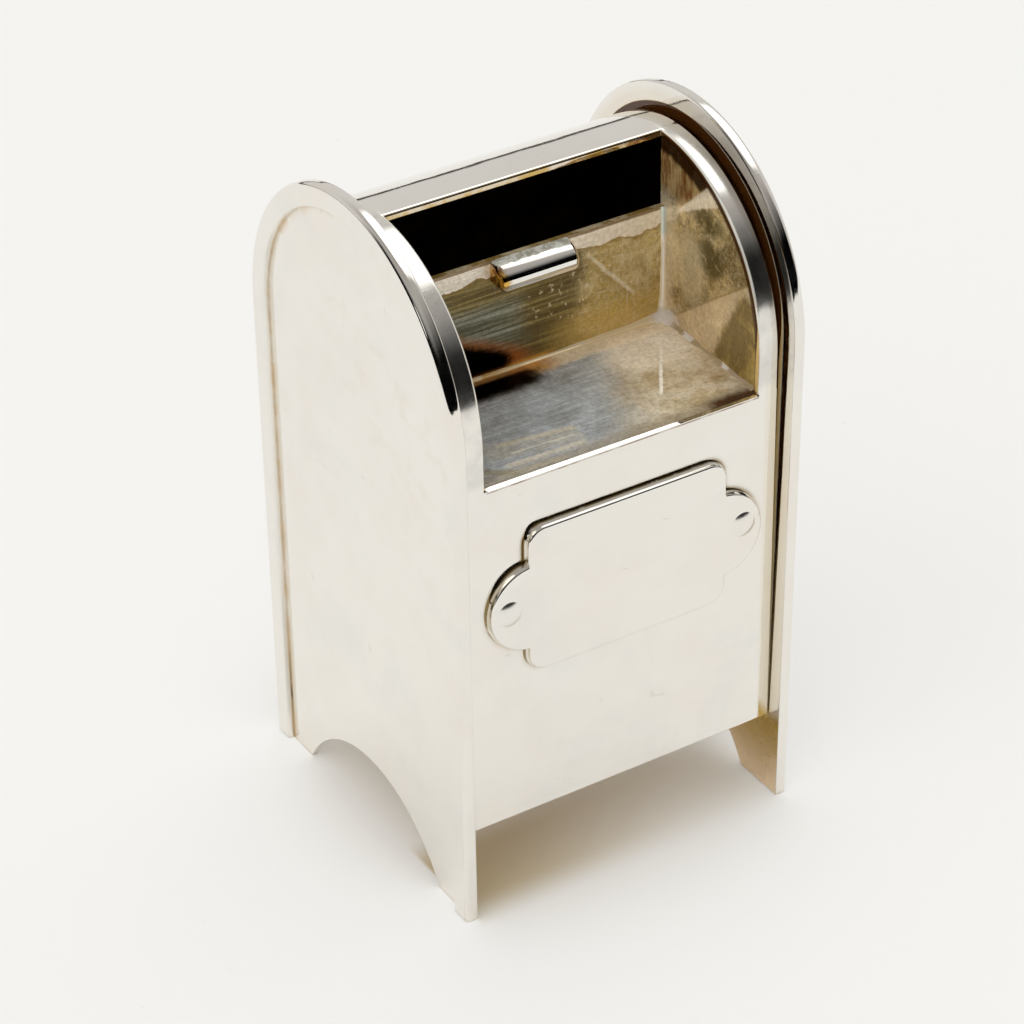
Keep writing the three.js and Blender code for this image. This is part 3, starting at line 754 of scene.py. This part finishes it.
def rim_outline(bottom):
    inner = END_R - RIM_WIDTH
    points = [(-END_R, bottom), (-inner, bottom)]
    points += arc(0, END_SPRING, inner, 180, 0, END_STEPS)
    points += [(inner, bottom), (END_R, bottom)]
    points += arc(0, END_SPRING, END_R, 0, 180, END_STEPS)
    return points


BAND_W = PLATE_T + RIM_T
OUTER_CROWN = (0.45, 2.2)
INNER_CROWN = (0.25, 5.0)
HOLD = 0.03


def crown(across):
    """Inset of the end's edge band at a place across its width: softly rounded outside, tighter inside."""
    t = 2 * across / BAND_W - 1
    depth, power = OUTER_CROWN if t < 0 else INNER_CROWN
    return depth * (1 - (1 - min(1.0, abs(t)) ** power) ** (1 / power))


def band_stations(start, end, steps):
    """(inset, across) stations between two places across the band, closer together near its two corners."""
    low, high = math.asin(2 * start / BAND_W - 1), math.asin(2 * end / BAND_W - 1)
    stations = []
    for i in range(steps + 1):
        across = (1 + math.sin(low + (high - low) * i / steps)) * BAND_W / 2
        stations.append((crown(across), across))
    return stations


def edge_weight(u, v):
    """Full rounding on the outer edge and under the feet, a light one in the foot arch and inside the rim."""
    if v >= END_SPRING:
        return 1.0 if math.hypot(u, v - END_SPRING) > END_R - 0.05 else 0.4
    return 1.0 if abs(u) > END_R - 0.05 else 0.4


def build_end(side, seam_x, bottom, body, nodes, turn=None):
    """One end of the case. side is the direction that faces outwards, seam_x where plate and rim meet."""

    def place(u, v, across):
        return (seam_x + side * (RIM_T - across), u, v)

    rim_stations = band_stations(0.0, RIM_T, 14)
    rim_stations.insert(0, (OUTER_CROWN[0] + HOLD, 0.0))
    plate_stations = band_stations(RIM_T, BAND_W, 14)
    plate_stations.append((INNER_CROWN[0] + HOLD, BAND_W))
    plate = loft(end_plate_outline(bottom), plate_stations, place, edge_weight)
    rim = loft(rim_outline(bottom), rim_stations, place, edge_weight)
    for piece, node, metal in ((plate, nodes[0], silver), (rim, nodes[1], silver_rim)):
        to_object(piece, node + "_fine", metal, body, (node,), 50, turn, weigh=False)


to_hinge = Matrix.Translation(HINGE_AT)
to_ajar = to_hinge @ Matrix.Rotation(AJAR, 4, Vector(hinge["axis"])) @ to_hinge.inverted()
build_end(-1, rim_hi.x, 0.0, "case", ("left_side_plate", "left_rim"))
build_end(1, LID_X + PLATE_T, LID_FOOT_LIFT, "lid", ("lid_plate", "lid_rim"), to_ajar)


# ---------------------------------------------------------------- body sheet

ARC_STEPS = 64


def body_path():
    """Stations round the body from the front's bottom edge to the back's: (y, z, outward y, outward z)."""
    stations = []
    for z in (wrap_lo.z, OPEN_Z, BODY_SPRING):
        stations.append((-BODY_R, z, -1.0, 0.0))
    crown = math.degrees(math.acos(-OPEN_REAR_Y / BODY_R))
    angles = [crown * i / ARC_STEPS for i in range(1, ARC_STEPS + 1)]
    angles += [crown + (180 - crown) * i / ARC_STEPS for i in range(1, ARC_STEPS + 1)]
    for a in angles:
        c, s = math.cos(math.radians(a)), math.sin(math.radians(a))
        stations.append((-BODY_R * c, BODY_SPRING + BODY_R * s, -c, s))
    stations.append((BODY_R, wrap_lo.z, 1.0, 0.0))
    return stations


def build_body():
    bm = bmesh.new()
    stations = body_path()
    columns = [wrap_lo.x, -OPEN_X, OPEN_X, wrap_hi.x]
    opening_rows = range(1, 2 + ARC_STEPS)

    def ring(inset):
        rows = []
        for y, z, ny, nz in stations:
            rows.append([bm.verts.new((x, y - inset * ny, z - inset * nz)) for x in columns])
        return rows

    outer, inner = ring(0.0), ring(SHEET_T)
    for corner in outer[1][1:3]:
        corner.co.z -= 0.19
    filled = set()
    for r in range(len(stations) - 1):
        for c in range(len(columns) - 1):
            if c == 1 and r in opening_rows:
                continue
            filled.add((r, c))
            bm.faces.new((outer[r][c], outer[r][c + 1], outer[r + 1][c + 1], outer[r + 1][c]))
            bm.faces.new((inner[r][c], inner[r + 1][c], inner[r + 1][c + 1], inner[r][c + 1]))
    sides = {}
    for r, c in filled:
        corners = [(r, c), (r, c + 1), (r + 1, c + 1), (r + 1, c)]
        for i in range(4):
            key = tuple(sorted((corners[i], corners[(i + 1) % 4])))
            sides[key] = sides.get(key, 0) + 1
    rims = {"outer": [], "inner": [], "sill": [], "lip": [], "left": [], "right": []}
    for (a, b), count in sides.items():
        if count > 1:
            continue
        bm.faces.new((outer[a[0]][a[1]], outer[b[0]][b[1]], inner[b[0]][b[1]], inner[a[0]][a[1]]))
        kind = "outer"
        if a[0] == b[0] == 1:
            kind = "sill"
        elif a[0] == b[0] == 1 + ARC_STEPS:
            kind = "lip"
        elif a[1] == b[1] and a[1] in (0, 3):
            kind = "left" if a[1] == 0 else "right"
        rims[kind].append(bm.edges.get((outer[a[0]][a[1]], outer[b[0]][b[1]])))
        rims["inner"].append(bm.edges.get((inner[a[0]][a[1]], inner[b[0]][b[1]])))
    bmesh.ops.recalc_face_normals(bm, faces=bm.faces)
    widths = {"outer": 0.28, "sill": 0.07, "lip": 0.30, "left": 0.05, "right": 0.08, "inner": 0.06}
    for key, width in widths.items():
        segments = 6 if width > 0.1 else 2
        live = [e for e in rims[key] if e.is_valid]
        bmesh.ops.bevel(bm, geom=live, offset=width, segments=segments, profile=0.5, affect="EDGES")
    return bm


def paint_inside(obj, material, test):
    """Gives the faces whose centre and normal pass the test a second material."""
    obj.data.materials.append(material)
    for polygon in obj.data.polygons:
        if test(polygon.center / MM, polygon.normal):
            polygon.material_index = 1


def inward_facing(centre, normal):
    """True on the inner side of the body sheet."""
    if centre.z > BODY_SPRING:
        radial = Vector((0, centre.y, centre.z - BODY_SPRING)).normalized()
        return radial.dot(normal) < -0.7
    return abs(normal.y) > 0.7 and normal.y * centre.y < 0


body_piece = to_object(build_body(), "body_wrap_fine", silver_body, "case", ("body_wrap",))
paint_inside(body_piece, inside_metal, inward_facing)


# ---------------------------------------------------------------- pocket


def grid_sheet(corner, along_u, along_v, count_u, count_v, thickness, dent, node, material):
    """A hand-cut sheet: its visible side a fine grid pushed in and out by dent(u, v), its back flat."""
    bm = bmesh.new()
    corner, along_u, along_v = Vector(corner), Vector(along_u), Vector(along_v)
    normal = along_u.cross(along_v).normalized()
    front, rear = [], []
    for i in range(count_u + 1):
        row_front, row_rear = [], []
        for j in range(count_v + 1):
            u, v = i / count_u, j / count_v
            p = corner + along_u * u + along_v * v
            fade = min(1.0, 8 * min(u, v, 1 - u, 1 - v))
            row_front.append(bm.verts.new(p + normal * dent(u, v) * fade))
            row_rear.append(bm.verts.new(p - normal * thickness))
        front.append(row_front)
        rear.append(row_rear)
    for i in range(count_u):
        for j in range(count_v):
            bm.faces.new((front[i][j], front[i + 1][j], front[i + 1][j + 1], front[i][j + 1]))
            bm.faces.new((rear[i][j], rear[i][j + 1], rear[i + 1][j + 1], rear[i + 1][j]))
    for j in range(count_v):
        bm.faces.new((front[0][j], front[0][j + 1], rear[0][j + 1], rear[0][j]))
        bm.faces.new((front[-1][j + 1], front[-1][j], rear[-1][j], rear[-1][j + 1]))
    for i in range(count_u):
        bm.faces.new((front[i + 1][0], front[i][0], rear[i][0], rear[i + 1][0]))
        bm.faces.new((front[i][-1], front[i + 1][-1], rear[i + 1][-1], rear[i][-1]))
    to_object(bm, node + "_fine", material, "case", (node,), sharp=50)


def ripple(scale_u, scale_v, depth, phase):
    """A smooth low dent pattern, as left by hand fitting."""

    def dent(u, v):
        a = math.sin(u * scale_u + phase) * math.cos(v * scale_v + phase * 0.7)
        b = math.sin((u + v) * (scale_u + scale_v) * 0.5 + phase * 1.9)
        return depth * (0.6 * a + 0.4 * b)

    return dent


rear_z = floor_hi.z
sheet = back_hi.y - back_lo.y
grid_sheet(
    (-OPEN_X, floor_lo.y - 0.17, OPEN_Z + 0.01),
    (2 * OPEN_X, -0.12, 0),
    (0, back_lo.y - floor_lo.y + 0.17, rear_z - OPEN_Z - 0.01),
    48,
    28,
    sheet,
    ripple(7.0, 5.0, 0.03, 0.6),
    "pocket_floor",
    pocket_floor_metal,
)
grid_sheet(
    (-OPEN_X, back_lo.y, back_lo.z),
    (2 * OPEN_X, 0, 0),
    (0, 0, back_hi.z - back_lo.z),
    48,
    24,
    sheet,
    ripple(8.0, 4.0, 0.03, 2.1),
    "pocket_back",
    pocket_back_metal,
)


def build_cheek(x0, x1, node):
    radius = BODY_R - SHEET_T - 0.02
    rear = math.degrees(math.acos(OPEN_REAR_Y / radius))
    points = [(-radius, cheek_lo.z), (OPEN_REAR_Y, cheek_lo.z)]
    points += arc(0, BODY_SPRING, radius, rear, 180, 56)
    stations = [(0.0, x0), (0.0, x1)]
    cheek = loft(points, stations, along_x)
    to_object(cheek, node + "_fine", pocket_cheek_metal, "case", (node,), weigh=False)


build_cheek(cheek_lo.x, cheek_hi.x, "right_cheek")
build_cheek(-cheek_hi.x, -cheek_lo.x, "left_cheek")


def fillet(bm, start, end, side_a, side_b, radius_at, steps=40, arc_steps=6):
    """A concave run of solder in an inside corner, from start to end, between two directions."""
    start, end, side_a, side_b = Vector(start), Vector(end), Vector(side_a), Vector(side_b)
    sunk = 0.06
    rings = []
    for i in range(steps + 1):
        t = i / steps
        corner = start.lerp(end, t)
        r = radius_at(t)
        ring = [corner - (side_a + side_b) * sunk, corner + side_a * r - side_b * sunk]
        for k in range(arc_steps + 1):
            a = math.radians(90 * k / arc_steps)
            ring.append(corner + side_a * r * (1 - math.sin(a)) + side_b * r * (1 - math.cos(a)))
        ring.append(corner + side_b * r - side_a * sunk)
        rings.append(ring)
    skin(bm, rings)


def lumps(base, swell_start, swell_end, uneven, phase):
    """Fillet radius along its run: larger towards the ends, with small lumps."""

    def radius(t):
        r = base + swell_start * (1 - t) ** 6 + swell_end * t**6
        return r * (1 + uneven * math.sin(19 * t + phase) + 0.6 * uneven * math.sin(47 * t + 2 * phase))

    return radius


def build_fillets():
    bm = bmesh.new()
    top = back_hi.z - 0.05
    front = floor_lo.y + 0.1
    left, right = (-OPEN_X, back_lo.y, rear_z), (OPEN_X, back_lo.y, rear_z)
    forward, up = (0, -1, 0), (0, 0, 1)
    for rear, sign, phase in ((right, 1, 0.4), (left, -1, 2.3)):
        x, inward = rear[0], (-sign, 0, 0)
        fillet(bm, rear, (x, back_lo.y, top), inward, forward, lumps(0.30, 0.4, 0.05, 0.05, phase))
        fillet(bm, rear, (x, front, OPEN_Z + 0.01), inward, up, lumps(0.26, 0.45, 0.1, 0.2, phase + 1))
    fillet(bm, left, right, forward, up, lumps(0.24, 0.3, 0.45, 0.1, 0.9), steps=90)
    return bm


to_object(build_fillets(), "pocket_solder", solder_metal, "case", (), sharp=75)


# ---------------------------------------------------------------- pull bar


def build_pull_bar():
    """A bar with rounded ends: its gently curved top slopes forward from the wall to a round nose."""
    rear, front, under = 16, 42, 125
    top_r, nose_r, round_r = 2.6, 1.15, 0.55
    back_y, back_z = bar_hi.y - 0.43, bar_hi.z - 0.12
    top_y = back_y + top_r * math.sin(math.radians(rear))
    top_z = back_z - top_r * math.cos(math.radians(rear))
    nose_y = top_y - (top_r - nose_r) * math.sin(math.radians(front))
    nose_z = top_z + (top_r - nose_r) * math.cos(math.radians(front))
    points = [(bar_hi.y, nose_z + nose_r * math.cos(math.radians(under))), (bar_hi.y, bar_hi.z)]
    points += arc(top_y, top_z, top_r, 90 + rear, 90 + front, 16)
    points += arc(nose_y, nose_z, nose_r, 90 + front, 90 + under, 40)[1:]
    stations = [(round_r + 0.02, bar_lo.x)]
    for i in range(9):
        a = math.radians(90 * i / 8)
        stations.append((round_r * (1 - math.sin(a)), bar_lo.x + round_r * (1 - math.cos(a))))
    stations += [(inset, -x) for inset, x in reversed(stations)]

    def weight(u, v):
        return 0.0 if u > bar_hi.y - 0.01 else 1.0

    return loft(points, stations, along_x, weight)


to_object(build_pull_bar(), "pull_bar_fine", silver_bar, "case", ("pull_bar",), sharp=60)


# ---------------------------------------------------------------- name plate and rivets


def name_outline(inset):
    mid = (name_lo.z + name_hi.z) / 2
    half_z = (name_hi.z - name_lo.z) / 2 - inset
    half_x, corner, ear_r = 9.7 - inset, 1.75 - inset, 4.15 - inset
    ear_x = name_hi.x - 4.15
    ear_mid = mid - 0.45
    ear = math.degrees(math.acos((half_x - ear_x) / ear_r))
    cx, cz = half_x - corner, half_z - corner
    points = []
    points += arc(cx, mid - cz, corner, -90, 0, 12)
    points += arc(ear_x, ear_mid, ear_r, -ear, ear, 48)
    points += arc(cx, mid + cz, corner, 0, 90, 12)
    points += arc(-cx, mid + cz, corner, 90, 180, 12)
    points += arc(-ear_x, ear_mid, ear_r, 180 - ear, 180 + ear, 48)
    points += arc(-cx, mid - cz, corner, 180, 270, 12)
    return points


def name_profile():
    """Edge section as (inset, height) stations: an upright foot, a wall leaning back, a small round."""
    thick = name_hi.y - name_lo.y
    lean = math.radians(22)
    foot, nose = 0.14, 0.2
    wall_top = thick - nose * (1 - math.sin(lean))
    wall_inset = (wall_top - foot) * math.tan(lean)
    stations = [(0.0, 0.0), (0.0, foot), (wall_inset, wall_top)]
    centre = wall_inset + nose * math.cos(lean)
    for i in range(1, 9):
        a = lean + (math.pi / 2 - lean) * i / 8
        stations.append((centre - nose * math.cos(a), thick - nose + nose * math.sin(a)))
    stations.append((centre + 0.03, thick))
    return stations


def build_name_plate():
    rings = []
    for inset, height in name_profile():
        rings.append([along_front(u, v, height - name_hi.y) for u, v in name_outline(inset)])
    return skin(bmesh.new(), rings)


name_piece = build_name_plate()
name_of = ("name_plate",)
to_object(name_piece, "name_plate_fine", silver_name, "case", name_of, 50, weigh=False)


def build_rivet(low, high):
    """Domed rivet head, with a short skirt that sinks into the plate."""
    bm = bmesh.new()
    x, mid = (low.x + high.x) / 2, (low.z + high.z) / 2
    radius = (high.z - low.z) / 2
    height = 0.28
    dome = (radius**2 + height**2) / (2 * height)
    around, up = 48, 12
    rings = []
    levels = [(radius, -0.2)]
    for i in range(up):
        r = radius * (1 - i / up)
        levels.append((r, math.sqrt(dome**2 - r**2) - (dome - height)))
    for r, h in levels:
        ring = []
        for k in range(around):
            a = 2 * math.pi * k / around
            ring.append(bm.verts.new((x + r * math.cos(a), name_lo.y - h, mid + r * math.sin(a))))
        rings.append(ring)
    join_rings(bm, rings)
    tip = bm.verts.new((x, name_lo.y - height, mid))
    for k in range(around):
        bm.faces.new((rings[-1][k], rings[-1][(k + 1) % around], tip))
    bm.faces.new(list(reversed(rings[0])))
    return bm


for rivet in ("rivet_left", "rivet_right"):
    rivet_piece = build_rivet(*box_mm(rivet))
    to_object(rivet_piece, rivet + "_fine", silver_rivet, "case", (rivet,), sharp=60)


# ---------------------------------------------------------------- CAD nodes that stay, with their own finish

for node_name, metal in (
    ("bottom_plate", hinge_metal),
    ("lid_flange", flange_metal),
    ("body_hinge_leaf", hinge_metal),
    ("lid_hinge_leaf", hinge_metal),
    ("hinge_pin", hinge_metal),
):
    node = frame["nodes"][node_name]
    node.data.materials.clear()
    node.data.materials.append(metal)
    soften = node.modifiers.new("soften", "BEVEL")
    soften.width = 0.05 * MM
    soften.segments = 2
    soften.limit_method = "ANGLE"
    soften.angle_limit = math.radians(40)


# ---------------------------------------------------------------- floor, surroundings, camera

FLOOR_HALF = 3.0


def floor_material():
    """Pale paper, with painted shade under the case: warm brown and darkest near the left plate, for light
    warmed and dimmed by the tarnished inner faces above it.
    """
    material, n, at, (x, y, _) = new_finish("floor_paper")
    cloud = n.noise(at, 9.0, 3.0, 0.5)
    dust = n.ramp(n.noise(at, 900.0, 2.0, 0.5), 0.70, 0.80)
    tint = n.mix(cloud * 0.5, rgb(243, 242, 239), rgb(236, 236, 234))
    tint = n.mix(dust * 0.08, tint, rgb(190, 186, 180))
    # Painted shade under the case, warm brown, strongest towards the left plate.
    between = n.ramp(x, plate_lo.x + 0.3, plate_hi.x + 0.2) * n.ramp(x, wrap_hi.x + 3.0, wrap_hi.x - 3.0)
    between = between * n.ramp(y, -END_R - 1.5, -END_R + 3.0)
    between = between * n.ramp(y, -4.0, -8.5)
    close = n.ramp(x, wrap_hi.x - 6.0, plate_hi.x, 0.18, 0.75)
    tint = n.mix(between * close, tint, (0.48, 0.35, 0.13))
    paper = {"Base Color": tint, "Roughness": 0.9, "Specular IOR Level": 0.1}
    shader = n.make("ShaderNodeBsdfPrincipled", paper)
    n.make("ShaderNodeOutputMaterial", {0: shader})
    return material


floor_bm = bmesh.new()
bmesh.ops.create_grid(floor_bm, x_segments=2, y_segments=2, size=FLOOR_HALF)
floor_mesh = bpy.data.meshes.new("floor")
floor_bm.to_mesh(floor_mesh)
floor_bm.free()
floor_mesh.materials.append(floor_material())
floor = bpy.data.objects.new("floor", floor_mesh)
bpy.context.scene.collection.objects.link(floor)

CAMERA_AZIMUTH = -31.82
CAMERA_ELEVATION = 32.81
CAMERA_ROLL = -0.84
CAMERA_DISTANCE = 0.300879
CAMERA_TARGET = Vector((-0.0002, 0.0, 0.030433))


def direction(azimuth, elevation):
    """Unit vector; azimuth in degrees from -Y towards +X, elevation above the horizon."""
    a, e = math.radians(azimuth), math.radians(elevation)
    return Vector((math.sin(a) * math.cos(e), -math.cos(a) * math.cos(e), math.sin(e)))


SOFT_BOX = direction(115, 56)


def build_world():
    """A studio sweep: pale backdrop, dark room on the camera's side, a large soft box and a small lamp.

    Mirror reflections see the room. Matt surfaces are lit by an even fill, with a broad key from the side of
    the soft box and a stronger one from the lamp's side.
    """
    world = bpy.data.worlds.new("studio")
    bpy.context.scene.world = world
    world.use_nodes = True
    n = Nodes(world.node_tree)
    at = n.make("ShaderNodeTexCoord", output=0)
    height = n.make("ShaderNodeSeparateXYZ", {0: at}, output=2)
    elevation = n.math("ARCSINE", height) * (180 / math.pi)
    flat = n.make("ShaderNodeVectorMath", {0: at, 1: (1.0, 1.0, 0.0)}, operation="MULTIPLY")
    flat = n.make("ShaderNodeVectorMath", {0: flat}, operation="NORMALIZE")
    toward = direction(CAMERA_AZIMUTH, 0)
    facing = n.towards(flat, toward)
    front = n.ramp(facing, -0.25, 0.15)
    low_dark = front * n.ramp(elevation, 66.0, 26.0)
    backdrop = n.mix(n.ramp(elevation, 25.0, 75.0), rgb(216, 214, 211), rgb(168, 164, 160))
    horizon = n.ramp(elevation, -1.3, -0.9) * n.ramp(elevation, 3.6, 1.8)
    backdrop = n.mix(horizon, backdrop, rgb(84, 80, 74))
    ambient = n.mix(low_dark, backdrop, (0.0, 0.0, 0.0))

    def cone(middle, outside, inside):
        """1 within inside degrees of a direction, fading to 0 at outside degrees."""
        cosine = n.towards(at, middle)
        return n.ramp(cosine, math.cos(math.radians(outside)), math.cos(math.radians(inside)))

    room = n.mix(cone(SOFT_BOX, 27, 17), ambient, (1.9, 1.88, 1.84))
    room = n.mix(cone(direction(-76, 24), 8, 5), room, (1.2, 1.19, 1.16))
    ground = n.ramp(elevation, -1.4, -1.0)
    room = n.mix(ground, rgb(238, 236, 233), room)
    fill = n.mix(cone(SOFT_BOX, 40, 12), (0.84, 0.84, 0.845), (1.22, 1.22, 1.21))
    fill = n.mix(cone(direction(-71, 38), 50, 6), fill, (1.45, 1.44, 1.42))
    fill = n.mix(ground, rgb(238, 236, 233), fill)
    seen = n.make("ShaderNodeLightPath")
    no_matt_before = n.math("LESS_THAN", seen.output("Diffuse Depth"), 0.5)
    light = n.mix(seen.output("Is Glossy Ray") * no_matt_before, fill, room)
    light = n.mix(seen.output("Is Camera Ray"), light, rgb(233, 232, 229))
    shader = n.make("ShaderNodeBackground", {0: light, 1: 1.0})
    n.make("ShaderNodeOutputWorld", {0: shader})
    return world


build_world()

POCKET_LAMP_DISTANCE = 0.6
lamp_data = bpy.data.lights.new("pocket_snoot", "SPOT")
lamp_data.energy = 10.0
lamp_data.color = (1.0, 0.97, 0.9)
lamp_data.spot_size = math.radians(2.6)
lamp_data.spot_blend = 0.7
lamp_data.shadow_soft_size = 0.03
lamp = bpy.data.objects.new("pocket_snoot", lamp_data)
bpy.context.scene.collection.objects.link(lamp)
lamp.visible_glossy = False
lamp_aim = Vector((OPEN_X - 6.0, back_lo.y - 5.0, floor_hi.z + 3.0)) * MM
lamp_from = direction(-58, 46)
lamp.location = lamp_aim + lamp_from * POCKET_LAMP_DISTANCE
lamp.rotation_euler = lamp_from.to_track_quat("Z", "Y").to_euler()
pocket_only = bpy.data.collections.new("pocket_only")
for piece_name in ("pocket_floor_fine", "pocket_back_fine", "right_cheek_fine", "pocket_solder"):
    pocket_only.objects.link(bpy.data.objects[piece_name])
lamp.light_linking.receiver_collection = pocket_only

camera_data = bpy.data.cameras.new("camera")
camera = bpy.data.objects.new("camera", camera_data)
bpy.context.scene.collection.objects.link(camera)
back = direction(CAMERA_AZIMUTH, CAMERA_ELEVATION)
right = Vector((math.cos(math.radians(CAMERA_AZIMUTH)), math.sin(math.radians(CAMERA_AZIMUTH)), 0))
up = back.cross(right)
roll = math.radians(CAMERA_ROLL)
x_axis = right * math.cos(roll) + up * math.sin(roll)
y_axis = up * math.cos(roll) - right * math.sin(roll)
orient = Matrix((x_axis, y_axis, back)).transposed()
camera.matrix_world = Matrix.Translation(CAMERA_TARGET + back * CAMERA_DISTANCE) @ orient.to_4x4()
camera_data.sensor_width = 36.0
camera_data.lens = 126.27
camera_data.shift_x = -0.01367
camera_data.shift_y = -0.04238
camera_data.clip_start = 0.01
camera_data.clip_end = 20.0
bpy.context.scene.camera = camera
bpy.context.scene.view_settings.view_transform = "Standard"
